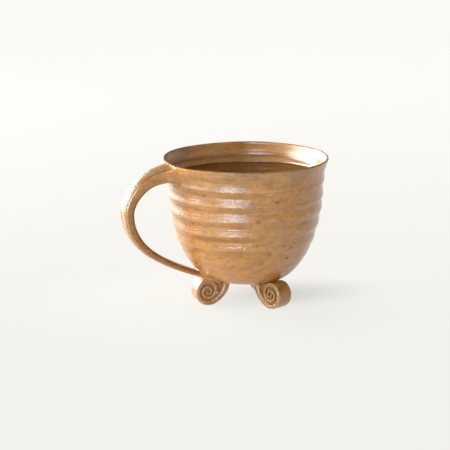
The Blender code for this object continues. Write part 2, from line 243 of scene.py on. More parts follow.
class CupGlazeSettings(PropertyGroup):
    ochre: colour_prop("Ochre", "The glaze where it lies even", (0.530, 0.212, 0.047))
    tan: colour_prop("Tan", "The paler, pinker streaks", (0.585, 0.266, 0.083))
    gold: colour_prop("Gold", "The warmer clouds", (0.548, 0.216, 0.032))
    # Pooled also serves as painted shade: deep in the cup, in the feet's crevices and packed clay, along
    # the joints and on the handle.
    pooled: colour_prop("Pooled", "The glaze where it runs deep", (0.215, 0.088, 0.022))
    # Amber also serves as painted shade: a band and a line inside below the lip, on the feet's barrels
    # and packed clay, on the handle's side and at the left of the lip.
    amber: colour_prop("Amber", "The glaze in the shallow valleys between rings", (0.350, 0.138, 0.020))
    # Broken also serves as painted highlight: on the lit inner wall, the handle's outer face, the feet's
    # edges and the crests of the left flank.
    broken: colour_prop("Broken", "The glaze where it breaks over an edge", (0.640, 0.390, 0.200))
    smoke: colour_prop("Smoke", "Greyer clouds, mostly high on the wall", (0.330, 0.162, 0.058))
    iron: colour_prop("Iron", "Spots of iron in the clay", (0.165, 0.070, 0.022))
    roughness: share_prop("Roughness", "Roughness of the glaze under its shine", 0.40)
    coat_roughness: share_prop("Shine roughness", "Roughness of the shine", 0.18)
    peel: length_prop("Orange peel", "Depth of the fine dimples in the glaze", 0.00020)


class CupStageSettings(PropertyGroup):
    view_azimuth: angle_prop("View azimuth", "Turn of the camera round the cup", -20.0)
    view_elevation: angle_prop("View elevation", "Height of the camera above the horizon", 12.65)
    distance: length_prop("Distance", "Distance of the camera from its target", 1.5)
    target_right: length_prop("Target right", "Target's place to the right of the turning axis", -0.01275)
    target_height: length_prop("Target height", "Height of the target", 0.0479)
    lens: number_prop("Lens", "Focal length in millimetres", 194.0)
    floor_radius: length_prop("Floor radius", "Radius of the studio floor", 5.0)
    room_light: number_prop("Room light", "Strength of the even light from all round", 0.34)


def bezier(corners, count):
    """Points of a cubic curve in the (radius, height) plane, at even steps."""
    start, start_pull, end_pull, end = (np.array(corner, float) for corner in corners)
    step = np.linspace(0.0, 1.0, count)[:, None]
    back = 1.0 - step
    first = back**3 * start + 3 * back**2 * step * start_pull
    return first + 3 * back * step**2 * end_pull + step**3 * end


def towards(angle, length=1.0):
    return np.array((math.cos(angle), math.sin(angle))) * length


def along(points):
    """Length of a curve up to each of its points."""
    steps = np.linalg.norm(np.diff(points, axis=0), axis=1)
    return np.concatenate(([0.0], np.cumsum(steps)))


def respaced(points, count):
    """The same curve with a number of evenly spaced points."""
    lengths = along(points)
    return at_length(points, lengths, np.linspace(0.0, lengths[-1], count))


def at_length(points, lengths, wanted):
    """The places on a curve at given lengths along it."""
    return np.stack([np.interp(wanted, lengths, column) for column in points.T], axis=-1)


def smooth(value, low, high):
    """0 below low, 1 above high and a soft step between them."""
    share = np.clip((value - low) / (high - low), 0.0, 1.0)
    return share * share * (3.0 - 2.0 * share)


def bell(value, middle, width):
    return np.exp(-(((value - middle) / width) ** 2))


def turn_between(angle, middle):
    """Signed turn from one direction to others, in degrees from -180 to 180."""
    return (np.asarray(angle) - middle + 180.0) % 360.0 - 180.0


def facing(angle, place):
    """1 at a place round the bowl, and softly down to 0 on either side of it."""
    middle, reach = place
    return bell(turn_between(angle, middle), 0.0, reach)


def ripple(angle, height, waves):
    """A sum of slow waves round and up the bowl: (size, turns, rise per wave, shift)."""
    total = 0.0
    for size, turns, rise, shift in waves:
        total = total + size * np.sin(np.radians(angle) * turns + 2 * np.pi * height / rise + shift)
    return total


# Slow waves of the thrown wall, and how its rings wander up and down as they go round
WALL_WAVES = (
    (0.00010, 2, 0.090, 0.4),
    (0.00008, 3, 0.060, 1.9),
    (0.00006, 5, -0.045, 3.1),
    (0.00004, 9, 0.030, 5.0),
)
RING_WAVES = (
    (0.00045, 1, 0.400, 1.85),
    (0.00022, 2, -0.090, 0.9),
    (0.00012, 4, 0.050, 2.2),
)
TOOL_WAVES = (
    (0.000022, 1, 0.00190, 0.3),
    (0.000018, -1, 0.00133, 1.1),
    (0.000014, 2, 0.00087, 2.6),
    (0.000020, 0, 0.00310, 4.0),
)


def ring_profile():
    """One throwing ring: a crest at its lower edge, a long slope above it and a short one below."""
    count = 512
    share = np.linspace(0.0, 1.0, count, endpoint=False)
    trough = 0.63
    above = np.clip(1.0 - share / trough, 0.0, 1.0) ** 1.10
    below = np.clip((share - trough) / (1.0 - trough), 0.0, 1.0)
    raw = np.where(share < trough, above, below)
    spread = np.exp(-((np.minimum(share, 1.0 - share) / 0.050) ** 2))
    soft = np.fft.irfft(np.fft.rfft(raw) * np.fft.rfft(spread / spread.sum()), count)
    return np.append(soft, soft[0])


RING_PROFILE = ring_profile()


def ring_marks(angle, height, first, pitch, strengths, lines):
    """Swell, line, crest and valley of the throwing rings at places on the wall."""
    phase = (height - first - ripple(angle, height, RING_WAVES)) / pitch
    share = phase - np.floor(phase)
    strength = np.interp(phase, np.arange(len(strengths)) + 0.35, strengths)
    line_strength = np.array(lines)[np.clip(np.round(phase).astype(int), 0, len(lines) - 1)]
    quiet = facing(angle, QUIET_RINGS) * (0.40 + 0.20 * smooth(phase, 2.8, 4.6))
    quiet = quiet + 0.22 * facing(angle, RINGS_BY_HANDLE)
    strength = strength * (1.0 - quiet + 0.15 * np.sin(np.radians(angle) * 3 + phase * 1.7))
    last = len(strengths) - 0.45
    present = smooth(phase, -0.35, 0.05) * (1.0 - smooth(phase, last - 0.3, last + 0.25))
    swell = 2.0 * np.interp(share, np.linspace(0, 1, len(RING_PROFILE)), RING_PROFILE) - 0.9
    swell = swell - 0.10 * line_strength * bell(turned(share), -0.02, 0.030)
    line = bell(turned(share), -0.020, 0.030) * line_strength
    crest = bell(turned(share), 0.10, 0.14)
    valley = bell(turned(share - 0.5), 0.24, 0.20)
    weight = strength * present
    return swell * weight, line * present, crest * weight, valley * weight


def handle_root_share(angle, height):
    """Where the potter's thumb wiped the rings away round the handle's upper joint."""
    return facing(angle, THUMBED_WALL) * smooth(height, LIP_HEIGHT - 0.0225, LIP_HEIGHT - 0.0165)


def turned(share):
    """A share of the pitch counted from the nearest ring's edge, from -0.5 to 0.5."""
    return (share + 0.5) % 1.0 - 0.5


class Wall:
    """The bowl's two sides, with the places and marks of its throwing rings."""

    def __init__(self, bowl):
        self.bowl = bowl
        flare = towards(math.pi / 2 - bowl.lip_flare, bowl.lip_pull)
        lip_height = LIP_HEIGHT - bowl.rim_wall / 2
        self.outer = self.side(
            (bowl.base_radius, UNDERSIDE),
            (bowl.base_radius + bowl.base_pull, UNDERSIDE),
            bowl.belly_radius, bowl.belly_pull_down,
            np.array((RIM_RADIUS, lip_height)), flare)
        floor = UNDERSIDE + bowl.floor_thickness
        self.inner = self.side(
            (0.0, floor), (bowl.floor_pull, floor),
            bowl.belly_radius - bowl.belly_wall, bowl.inner_pull_down,
            np.array((RIM_RADIUS - bowl.rim_wall, lip_height)), flare)

    def side(self, base, base_pull, belly_radius, pull_down, lip, flare):
        bowl = self.bowl
        belly = np.array((belly_radius, UNDERSIDE + bowl.belly_rise))
        up = towards(math.pi / 2 - bowl.belly_lean)
        lower = bezier((base, base_pull, belly - up * pull_down, belly), 160)
        upper = bezier((belly, belly + up * bowl.belly_pull_up, lip - flare, lip), 120)
        return np.concatenate((lower, upper[1:]))

    def outside_marks(self, angle, height):
        first = UNDERSIDE + self.bowl.first_ring
        marks = ring_marks(angle, height, first, self.bowl.ring_pitch, RING_STRENGTHS, RING_LINES)
        wiped = 1.0 - 0.85 * handle_root_share(angle, height)
        return tuple(mark * wiped for mark in marks)

    def inside_marks(self, angle, height):
        first = UNDERSIDE + self.bowl.first_ring + self.bowl.inner_ring_lift
        pitch = self.bowl.ring_pitch
        return ring_marks(angle, height, first, pitch, INNER_RING_STRENGTHS, INNER_RING_LINES)

    def outside_swell(self, angle, height):
        bowl = self.bowl
        swell = self.outside_marks(angle, height)[0] * bowl.ring_depth
        body = smooth(height, UNDERSIDE, UNDERSIDE + bowl.ring_pitch)
        calm = 1.0 - 0.6 * smooth(height, LIP_HEIGHT - 0.006, LIP_HEIGHT)
        waves = ripple(angle, height, WALL_WAVES) + ripple(angle, height, TOOL_WAVES)
        return swell + waves * body * calm

    def plain_radius(self, height):
        return np.interp(height, self.outer[:, 1], self.outer[:, 0])

    def outside_radius(self, angle, height):
        return self.plain_radius(height) + self.outside_swell(angle, height)

    def underside_height(self, radius):
        return np.interp(radius, self.outer[:, 0], self.outer[:, 1])

    def on_outside(self, points, sink=0.0):
        """Points moved straight in or out onto the outer wall, or a little under it."""
        angle = angle_round_axis(points)
        radius = self.outside_radius(angle, points[:, 2]) - sink
        return round_the_axis(angle, radius, points[:, 2])

    def on_underside(self, points, sink=0.0):
        """Points moved straight up onto the bowl's underside, or a little into it."""
        radius = np.hypot(points[:, 0] - TURNING_X, points[:, 1])
        moved = points.copy()
        moved[:, 2] = self.underside_height(radius) + sink
        return moved

    def meet_outside(self, points, heading, furthest=0.03):
        """Where straight lines from points outside the wall first reach it."""
        near = np.zeros(len(points))
        far = np.full(len(points), furthest)
        for _ in range(40):
            middle = (near + far) / 2
            places = points + heading * middle[:, None]
            radius = np.hypot(places[:, 0] - TURNING_X, places[:, 1])
            inside = radius < self.outside_radius(angle_round_axis(places), places[:, 2])
            far = np.where(inside, middle, far)
            near = np.where(inside, near, middle)
        return points + heading * near[:, None]

    def outside_normals(self, points):
        """Outward directions of the plain outer wall."""
        step = 0.0005
        angle = angle_round_axis(points)
        height = points[:, 2]
        rise = self.plain_radius(height + step) - self.plain_radius(height - step)
        turn = np.radians(angle)
        normals = np.stack((np.cos(turn), np.sin(turn), -rise / (2 * step)), axis=1)
        return normals / np.linalg.norm(normals, axis=1)[:, None]


def angle_round_axis(points):
    return np.degrees(np.arctan2(points[:, 1], points[:, 0] - TURNING_X))


def round_the_axis(angle, radius, height):
    """Points from their angle in degrees, radius from the turning axis, and height."""
    turn = np.radians(angle)
    x = TURNING_X + radius * np.cos(turn)
    y = radius * np.sin(turn)
    return np.stack(np.broadcast_arrays(x, y, height), axis=-1)


def in_upright_plane(flat, across, angle):
    """Points from (radius, height) in the upright plane at an angle, and how far they lie beside it."""
    turn = math.radians(angle)
    ahead = np.array((math.cos(turn), math.sin(turn), 0.0))
    sideways = np.array((-math.sin(turn), math.cos(turn), 0.0))
    points = ahead * flat[:, :1] + sideways * across + np.array((TURNING_X, 0.0, 0.0))
    points[:, 2] = flat[:, 1]
    return points


def placed(name, data):
    """A mesh, lamp or camera as an object of the scene."""
    made = bpy.data.objects.new(name, data)
    bpy.context.scene.collection.objects.link(made)
    return made


def closed_body(rings):
    """Points and faces of a closed body from rings of points, its ends closed on their middles."""
    count, around, _ = rings.shape
    middles = np.stack((rings[0].mean(axis=0), rings[-1].mean(axis=0)))
    points = np.concatenate((rings.reshape(-1, 3), middles))
    index = np.arange(count * around).reshape(count, around)
    beside = np.roll(index, -1, axis=1)
    quads = np.stack((index[:-1], beside[:-1], beside[1:], index[1:]), axis=-1).reshape(-1, 4)
    first_cap = [(count * around, beside[0, i], index[0, i]) for i in range(around)]
    last_cap = [(count * around + 1, index[-1, i], beside[-1, i]) for i in range(around)]
    faces = quads.tolist() + [tuple(map(int, face)) for face in first_cap + last_cap]
    if signed_volume(points, faces) < 0:
        faces = [tuple(reversed(face)) for face in faces]
    return points, faces


SHARP_ANGLE = math.radians(55.0)


def skin(name, *bodies):
    """One piece of clay from closed bodies, each given as its rings and the marks on them."""
    points = []
    faces = []
    marks = {}
    for rings, body_marks in bodies:
        rings = np.asarray(rings, float)
        body_points, body_faces = closed_body(rings)
        first = sum(map(len, points))
        points.append(body_points)
        faces.extend([tuple(first + corner for corner in face) for face in body_faces])
        for mark, values in body_marks.items():
            flat = np.broadcast_to(np.asarray(values, float), rings.shape[:2])
            ends = (flat[0].mean(), flat[-1].mean())
            marks.setdefault(mark, []).append(np.concatenate((flat.ravel(), ends)))
    mesh = bpy.data.meshes.new(name)
    mesh.from_pydata(np.concatenate(points).tolist(), [], faces)
    for mark, values in marks.items():
        layer = mesh.attributes.new(mark, "FLOAT", "POINT")
        layer.data.foreach_set("value", np.concatenate(values).astype(np.float32))
    mesh.shade_smooth()
    mesh.set_sharp_from_angle(angle=SHARP_ANGLE)
    return placed(name, mesh)


def signed_volume(points, faces):
    total = 0.0
    for size in (3, 4):
        group = np.array([face for face in faces if len(face) == size])
        if len(group) == 0:
            continue
        corner = points[group]
        for k in range(1, size - 1):
            total += np.einsum("ij,ij->", corner[:, 0], np.cross(corner[:, k], corner[:, k + 1]))
    return total


def bowl_profile(wall, bowl):
    """The bowl's section in four parts: underside, outer wall, lip, and inner wall with the floor."""
    under = np.linspace((0.0006, UNDERSIDE), (bowl.base_radius, UNDERSIDE), 24)[:-1]
    half = bowl.rim_wall / 2
    middle = np.array((RIM_RADIUS - half, LIP_HEIGHT - half))
    turns = np.linspace(0.0, math.pi, 13)[1:-1]
    lip = middle + np.stack((np.cos(turns), np.sin(turns)), axis=1) * half
    inner = respaced(wall.inner, int(bowl.rows * 0.7))[::-1]
    return under, respaced(wall.outer, bowl.rows), lip, inner[:-1]


def inner_marks(wall, angle, height, level):
    """Marks of the inner wall: its rings, its ledge, and the soft rolls and troughs below the lip."""
    lit = facing(angle, LIT_INSIDE)
    sides = {"all round": 1.0, "in light": lit, "in shade": 1.0 - lit, "mostly in shade": 1.0 - 0.8 * lit}
    marks = dict(zip(("swell", "line", "crest", "valley"), wall.inside_marks(angle, height)))
    brink = LIP_HEIGHT - LEDGE_DROP
    front = smooth(level, brink - 0.0013, brink)
    back = smooth(level, brink - 0.0003, brink + 0.0047)
    marks["swell"] = marks["swell"] + 1.9 * front * (1.0 - back)
    for mark, drop, reach, amount, side in INNER_RELIEF:
        marks[mark] = marks[mark] + amount * bell(level, LIP_HEIGHT - drop, reach) * sides[side]
    return marks


def throw_bowl(bowl):
    """The bowl as one body: underside, ringed outer wall, lip, ringed inner wall and floor."""
    wall = Wall(bowl)
    parts = bowl_profile(wall, bowl)
    profile = np.concatenate(parts)
    part_of = np.repeat(np.arange(len(parts)), [len(part) for part in parts])[:, None]
    below, outside, lip, inside = (part_of == part for part in range(len(parts)))
    angle = np.linspace(0.0, 360.0, bowl.columns, endpoint=False)[None, :]
    radius = np.repeat(profile[:, :1], bowl.columns, axis=1)
    height = np.repeat(profile[:, 1:], bowl.columns, axis=1)
    level = height - ripple(angle, height, RING_WAVES)
    swell, line, crest, valley = wall.outside_marks(angle, height)
    inner = inner_marks(wall, angle, height, level)

    waves = ripple(angle, height, WALL_WAVES) + ripple(angle, height, TOOL_WAVES)
    up_wall = smooth(height, UNDERSIDE + 0.008, UNDERSIDE + 0.025)
    radius = radius + np.where(outside | lip, wall.outside_swell(angle, height), 0.0)
    radius = radius - np.where(inside, (inner["swell"] * bowl.inner_ring_depth - waves) * up_wall, 0.0)
    trimmed = 0.00012 * np.sin(radius / 0.0011) * smooth(radius, 0.002, 0.006)
    spiral = 0.0003 * np.sin(radius / 0.0016 + np.radians(angle)) * smooth(radius, 0.0015, 0.008)
    height = height + np.where(below, trimmed, 0.0) + np.where(inside, spiral * (1.0 - up_wall), 0.0)
    lifted = smooth(height, LIP_HEIGHT - 0.016, LIP_HEIGHT - 0.001)
    height = height + lifted * (lip_waver(angle) - bowl.lip_dip * facing(angle, LIP_DIP))
    rings = round_the_axis(angle, radius, height)

    def by_part(on_outside, on_inside, on_lip=0.0):
        return np.where(outside, on_outside, np.where(inside, on_inside, on_lip))

    brink = LIP_HEIGHT - LEDGE_DROP + ripple(angle, height, RING_WAVES)
    # Painted shade: the inside below the ledge is darkened, a little less along a few rings.
    painted_shade_in_cup = np.where(inside, smooth(brink - height, -0.0002, 0.0007), 0.0)
    # Painted light: the inner wall is painted pale where the left lamps light it, and on the inner wall
    # near the handle.
    pale_painted_light = 2.4 * facing(angle, PAINTED_LIGHT_INSIDE_FAR) + 2.0 * facing(angle, PAINTED_LIGHT_INSIDE)
    lighter = sum(
        share * bell(level, LIP_HEIGHT - drop, reach) for drop, reach, share in PALE_INNER_RINGS)
    # The lip at the left is duller and painted darker, as painted shade.
    dull_painted_shade = lip * 0.75 * facing(angle, PAINTED_SHADE_LIP)
    # Crests break a little pale all round; at the left flank they are painted paler still, as painted
    # highlight.
    broken_and_painted_highlight = 0.55 + 0.75 * facing(angle, FLANK_PAINTED_HIGHLIGHT)
    strong = 0.35 + 0.85 * facing(angle, STRONG_RINGS)
    lower = smooth(-height, -0.072, -0.045) + 1.1 * smooth(-height, -0.053, -0.042)
    marks = {
        "groove_and_painted_shade": by_part(line, inner["line"], dull_painted_shade),
        "crest": by_part(crest * broken_and_painted_highlight, inner["crest"] * 0.5 + pale_painted_light * (1.0 - painted_shade_in_cup)),
        "valley": by_part(valley * 0.86, inner["valley"], dull_painted_shade * 1.6),
        "painted_deep_shade": painted_shade_in_cup * (1.0 - lighter),
        "ring": by_part(swell * strong * (1.0 + 0.9 * lower), inner["swell"] * 0.3),
        "inner": inside * 1.0,
    }
    return skin("thrown_bowl", (rings, marks))


def lip_waver(angle):
    """Small rise and fall of the lip round the cup."""
    turn = np.radians(angle)
    return 0.00016 * np.sin(2 * turn + 0.6) + 0.00010 * np.sin(5 * turn + 2.0) - 0.0002


# Points across the strap's outer face, down its side and across its inner face
FACE_POINTS = 33
SIDE_POINTS = 14
INNER_POINTS = 9

# Radius of the bead along each edge of the strap, and of the heel below it
BEAD = 0.00085
HEEL = 0.0014


def strap_section(width, thickness, crown, flutes, flute_depth):
    """Points round a strap's section as (across, outward), its outer face first.

    A bead runs along each edge of the outer face, with a groove inside it, and the sides below
    the beads are drawn in a little before they round off to the inner face.
    """
    bead = min(BEAD, 0.30 * thickness)
    heel = min(HEEL, 0.45 * thickness)
    flat = width / 2 - bead
    across = np.linspace(-flat, flat, FACE_POINTS)
    face = thickness / 2 + crown * (1.0 - (across / (width / 2)) ** 2)
    for place, size in flutes:
        face = face - flute_depth * size * bell(across, place * width / 2, 0.0010)
    beside = flat - np.abs(across)
    face = face - flute_depth * 1.6 * bell(beside, 0.0008, 0.0006)
    quarter = np.linspace(0.0, math.pi / 2, 6)[1:]
    edge = face[-1] - bead
    shoulder = np.stack((flat + bead * np.sin(quarter), edge + bead * np.cos(quarter)), axis=1)
    run = np.linspace(0.0, 1.0, 6)[1:-1]
    low = heel - thickness / 2
    drawn_in = flute_depth * 0.9 * np.sin(np.pi * run) ** 0.8
    side = np.stack((width / 2 - drawn_in, edge + (low - edge) * run), axis=1)
    turn = np.linspace(0.0, math.pi / 2, 6)[:-1]
    inset = width / 2 - heel
    foot = np.stack((inset + heel * np.cos(turn), low - heel * np.sin(turn)), axis=1)
    right = np.concatenate((shoulder, side, foot))
    left = right[::-1] * (-1.0, 1.0)
    top = np.stack((across, face), axis=1)
    bottom = np.linspace((inset, -thickness / 2), (-inset, -thickness / 2), INNER_POINTS)
    return np.concatenate((top, right, bottom, left))


def strap_tones(width, share):
    """Line, edge and pooled marks round the section of the handle's strap, with painted highlight on its
    outer face and painted shade on its side.
    """
    flat = width / 2 - BEAD
    across = np.linspace(-1.0, 1.0, FACE_POINTS) * flat
    fade = 1.0 - smooth(share, 0.60, 0.98)
    line = 1.25 * bell(flat - np.abs(across), 0.0007, 0.0006)
    for place, size in HANDLE_FLUTES:
        line = line + 0.50 * size * bell(across, place * width / 2, 0.0009)
    near_root = 1.0 - smooth(share, 0.13, 0.27)
    # Near the root the top face is duller and painted darker, as painted shade.
    dull_painted_shade = 0.44 * near_root
    off_edge = 1.0 - smooth(np.abs(across) / width, 0.30, 0.42)
    # Painted highlight: the outer face is painted pale on its lit half, near the root and at mid-height.
    pale_painted_light = 0.25 + 1.3 * smooth(across / width, -0.30, -0.05) * smooth(share, 0.16, 0.34)
    pale_painted_light = pale_painted_light + 1.4 * near_root * off_edge + 0.6 * bell(share, 0.42, 0.14)
    top = np.stack((np.maximum(line * fade, dull_painted_shade), pale_painted_light, np.zeros(FACE_POINTS)))
    run = np.linspace(0.0, 1.0, SIDE_POINTS)
    bead = 0.35 * bell(run, 0.14, 0.15)
    # Painted shade: amber over the side face beyond the bead, more lower down; near the root an amber
    # spot of the glaze.
    pooled = smooth(run, 0.20, 0.40)
    pooled = pooled * (0.20 + 0.80 * smooth(share, 0.16, 0.36))
    pooled = pooled + 1.1 * bell(share, 0.15, 0.05) * smooth(run, 0.45, 0.80)
    # Painted shade: the side face is darkened, more so lower down. Towards its inner edge it is darker
    # still.
    shaded = 0.16 + 0.32 * smooth(share, 0.14, 0.34) + 0.12 * smooth(share, 0.45, 0.70)
    darker_inner_edge = 0.42 * smooth(run, 0.62, 0.95) * smooth(share, 0.10, 0.22)
    darker_inner_edge = darker_inner_edge * (1.0 - smooth(share, 0.50, 0.75))
    right = np.stack((shaded * smooth(run, 0.36, 0.66) + darker_inner_edge, bead, pooled))
    bottom = np.zeros((3, INNER_POINTS))
    bottom[2] = 0.8
    return np.concatenate((top, right, bottom, right[:, ::-1]), axis=1)


def swept(stations, angle, section_of):
    """Rings of a strap that lies in the upright plane at an angle."""
    rings = []
    for place, direction, width, thickness, share in stations:
        outward = np.array((-direction[1], direction[0]))
        section = section_of(width, thickness, share)
        flat = place[None, :] + outward[None, :] * section[:, 1:]
        rings.append(in_upright_plane(flat, section[:, :1], angle))
    return np.array(rings)


def handle_curve(wall, handle):
    """The strap's middle line in (radius, height), from the lip down to its landing."""
    top_height = LIP_HEIGHT - handle.top_drop
    side_height = top_height - handle.side_drop
    landing_height = UNDERSIDE + handle.landing_rise
    reach = wall.plain_radius(side_height) + handle.finger_room + handle.thicknesses[1] / 2
    top = np.array((wall.plain_radius(top_height), top_height))
    side = np.array((reach, side_height))
    landing = np.array((wall.plain_radius(landing_height), landing_height))
    up = np.array((0.0, 1.0))
    upper = bezier((
        top, top + towards(handle.top_rise, handle.top_pull), side + up * handle.side_pull_up, side), 160)
    lower = bezier((
        side, side - up * handle.side_pull_down,
        landing + towards(handle.landing_slope, handle.landing_pull), landing), 160)
    return np.concatenate((upper, lower[1:]))


def handle_size(sizes, share):
    """A size at a share of the strap's length, from those at its top, middle and bottom."""
    top, middle, bottom = sizes
    if share < 0.5:
        return middle + (top - middle) * (1 - 2 * share) ** 3.0
    return middle + (bottom - middle) * (2 * share - 1) ** 0.8


def handle_stations(wall, handle, count=110):
    """Place, direction, width, thickness and share of the length, all along the strap."""
    curve = handle_curve(wall, handle)
    lengths = along(curve)
    whole = lengths[-1]
    stations = []
    step = 0.0004
    for reached in np.linspace(handle.top_reach, whole - handle.landing_reach, count):
        behind, place, ahead = at_length(curve, lengths, reached + step * np.array((-1.0, 0.0, 1.0)))
        direction = (ahead - behind) / np.linalg.norm(ahead - behind)
        share = reached / whole
        width = handle_size(handle.widths, share)
        thickness = handle_size(handle.thicknesses, share)
        stations.append((place, direction, width, thickness, share))
    return stations


# Finger grooves along the handle's outer face: place across it from -1 to 1, and depth
HANDLE_FLUTES = ((-0.45, 0.9), (0.10, 0.5), (0.55, 1.0))


def handle_section(handle):
    """How the strap's section changes along the handle, as its crown and grooves do."""
    def section(width, thickness, share):
        fade = 1.0 - smooth(share, 0.55, 0.95)
        crown = handle.crown * min(1.0, thickness / handle.thicknesses[1])
        crown = crown + handle.dome * float(1.0 - smooth(share, 0.10, 0.42))
        return strap_section(width, thickness, crown, HANDLE_FLUTES, handle.flute_depth * fade)
    return section


def pull_handle(bowl, handle):
    """The strap from one joint to the other."""
    wall = Wall(bowl)
    stations = handle_stations(wall, handle)
    rings = swept(stations, HANDLE_ANGLE, handle_section(handle))
    tones = np.array([strap_tones(width, share) for _, _, width, _, share in stations])
    return skin("strap_handle", (rings, tone_marks(*tones.swapaxes(0, 1))))


def tone_marks(groove_and_painted_shade, crest, valley):
    """The four marks that the glaze reads; these pieces get none of the painted shade deep in the cup."""
    return {"groove_and_painted_shade": groove_and_painted_shade, "crest": crest, "valley": valley, "painted_deep_shade": 0.0}


# How long the luting keeps the strap's direction, as a share of its reach, and how deep its edge sinks
LUTING_PULL = 0.62
LUTING_SINK = 0.00004


def luted(ring, heading, hits, outward, spreads, settle, pull=LUTING_PULL, count=18):
    """Rings that carry a strap's end out onto a surface, each point on its own soft curve."""
    step = np.linspace(0.0, 1.0, count)[:, None, None]
    back = 1.0 - step
    feet = settle(hits + outward * spreads[:, None], LUTING_SINK)
    reach = np.linalg.norm(hits - ring, axis=1)[:, None]
    leave = ring + heading * reach * pull
    arrive = settle(hits + outward * spreads[:, None] * 0.35, -LUTING_SINK / 2)
    return back**3 * ring + 3 * back**2 * step * leave + 3 * back * step**2 * arrive + step**3 * feet


def root_spreads(hits, outward):
    """How far the clay of the upper joint was wiped out over the wall, most of it low and near."""
    up = np.clip(outward[:, 2], 0.0, 1.0)
    down = np.clip(-outward[:, 2], 0.0, 1.0)
    near = np.clip(-outward[:, 1], 0.0, 1.0)
    spreads = 0.0045 - 0.0010 * up - 0.0016 * down + 0.0030 * near * (1.0 - up)
    spreads = spreads + 0.0034 * bell(np.hypot(near - 0.6, down - 0.8), 0.0, 0.45)
    room = (LIP_HEIGHT - 0.0010 - hits[:, 2]) / np.maximum(outward[:, 2], 1e-3)
    return np.where(outward[:, 2] > 0.05, np.minimum(spreads, room), spreads)


def outward_on_wall(wall, hits):
    """Directions along the wall away from the middle of a joint."""
    normals = wall.outside_normals(hits)
    away = hits - hits.mean(axis=0)
    away = away - normals * np.einsum("ij,ij->i", away, normals)[:, None]
    return away / np.maximum(np.linalg.norm(away, axis=1), 1e-9)[:, None]


def lute_handle(bowl, handle):
    """The clay worked round both ends of the strap."""
    wall = Wall(bowl)
    stations = handle_stations(wall, handle)
    rings = swept(stations, HANDLE_ANGLE, handle_section(handle))
    pieces = []
    for name, end, beside in (("handle_root_luting", 0, 1), ("handle_landing_luting", -1, -2)):
        ring = rings[end]
        _, _, width, _, share = stations[end]
        line, edge, pooled = strap_tones(width, share)
        heading = ring.mean(axis=0) - rings[beside].mean(axis=0)
        heading = heading / np.linalg.norm(heading)
        hits = wall.meet_outside(ring, heading)
        outward = outward_on_wall(wall, hits)
        at_root = end == 0
        spreads = root_spreads(hits, outward) if at_root else np.full(len(ring), 0.0012)
        upward = np.clip(outward[:, 2:], 0.0, 1.0)
        pull = LUTING_PULL - 0.34 * upward if at_root else LUTING_PULL
        rows = luted(ring, heading, hits, outward, spreads, wall.on_outside, pull)
        reached = np.linspace(0.0, 1.0, len(rows))[:, None]
        fade = 1.0 - smooth(reached, 0.0, 0.8)
        lower = np.clip(-outward[:, 2], 0.0, 1.0)[None, :]
        # Painted shade: a dark crease along the lower side of each joint.
        crease_painted_shade = bell(reached, 0.72 if at_root else 0.60, 0.20) * lower * 0.6
        # The root luting's upper reach is duller and painted darker, as painted shade.
        dull_painted_shade = 0.50 * smooth(upward.T, 0.15, 0.6) * (1.0 - fade) if at_root else 0.0
        marks = tone_marks(fade * line + crease_painted_shade + dull_painted_shade, fade * edge, fade * pooled)
        pieces.append(skin(name, (rows, marks)))
    return pieces


class Scroll:
    """One rolled strap: its size follows from the strap that is rolled up."""

    def __init__(self, foot, bowl):
        self.foot = foot
        eye_height = self.radius(0) + self.thickness(0) / 2 - foot.flat_depth
        self.eye = np.array((bowl.base_radius + foot.overhang, eye_height))

    def thickness(self, quarter):
        return self.foot.strap_thickness * math.exp(-self.foot.strap_taper * quarter)

    def wound(self, size, taper, quarter):
        """How much a size that tapers along the roll adds to the radius, from here in to the eye."""
        end = self.foot.quarter_turns
        return size / (4 * taper) * (math.exp(-taper * quarter) - math.exp(-taper * end))

    def radius(self, quarter):
        """Radius of the roll's middle line; past the last full turn the tip curls into the eye."""
        foot = self.foot
        rolled = min(quarter, foot.quarter_turns)
        strap = self.wound(foot.strap_thickness, foot.strap_taper, rolled)
        gap = self.wound(foot.gap, foot.gap_taper, rolled)
        pressed = foot.press * float(bell(quarter, 2.15, 0.75))
        tip = smooth(quarter, foot.quarter_turns - 0.3, foot.quarter_turns + foot.tip_turns)
        return foot.eye_radius + strap + gap + pressed - tip * (foot.eye_radius - foot.tip_radius)

    def place(self, quarter):
        """Where the middle line is after a number of quarter turns from the toe."""
        return self.eye + towards(math.pi / 2 * (quarter - 1), self.radius(quarter))

    def stations(self):
        foot = self.foot
        root = np.array((self.eye[0] - foot.setback, UNDERSIDE - foot.luting_height))
        toe = self.eye - np.array((0.0, self.radius(0)))
        down = np.array((0.0, -1.0))
        curve = respaced(bezier((
            root, root + down * foot.root_pull, toe - np.array((foot.toe_pull, 0.0)), toe), 120), 26)
        heads = np.gradient(curve, axis=0)
        heads = heads / np.linalg.norm(heads, axis=1)[:, None]
        heads[0] = down
        heads[-1] = (1.0, 0.0)
        found = []
        for i, (place, direction) in enumerate(zip(curve, heads)):
            share = i / (len(curve) - 1)
            thickness = foot.root_thickness + (self.thickness(0) - foot.root_thickness) * share
            found.append((place, direction, foot.width, thickness, 0.0))
        turns = foot.quarter_turns + foot.tip_turns
        steps = int(turns * 14)
        for step in range(1, steps + 1):
            quarter = turns * step / steps
            direction = towards(math.pi / 2 * quarter)
            found.append((self.place(quarter), direction, foot.width, self.thickness(quarter), quarter))
        return found


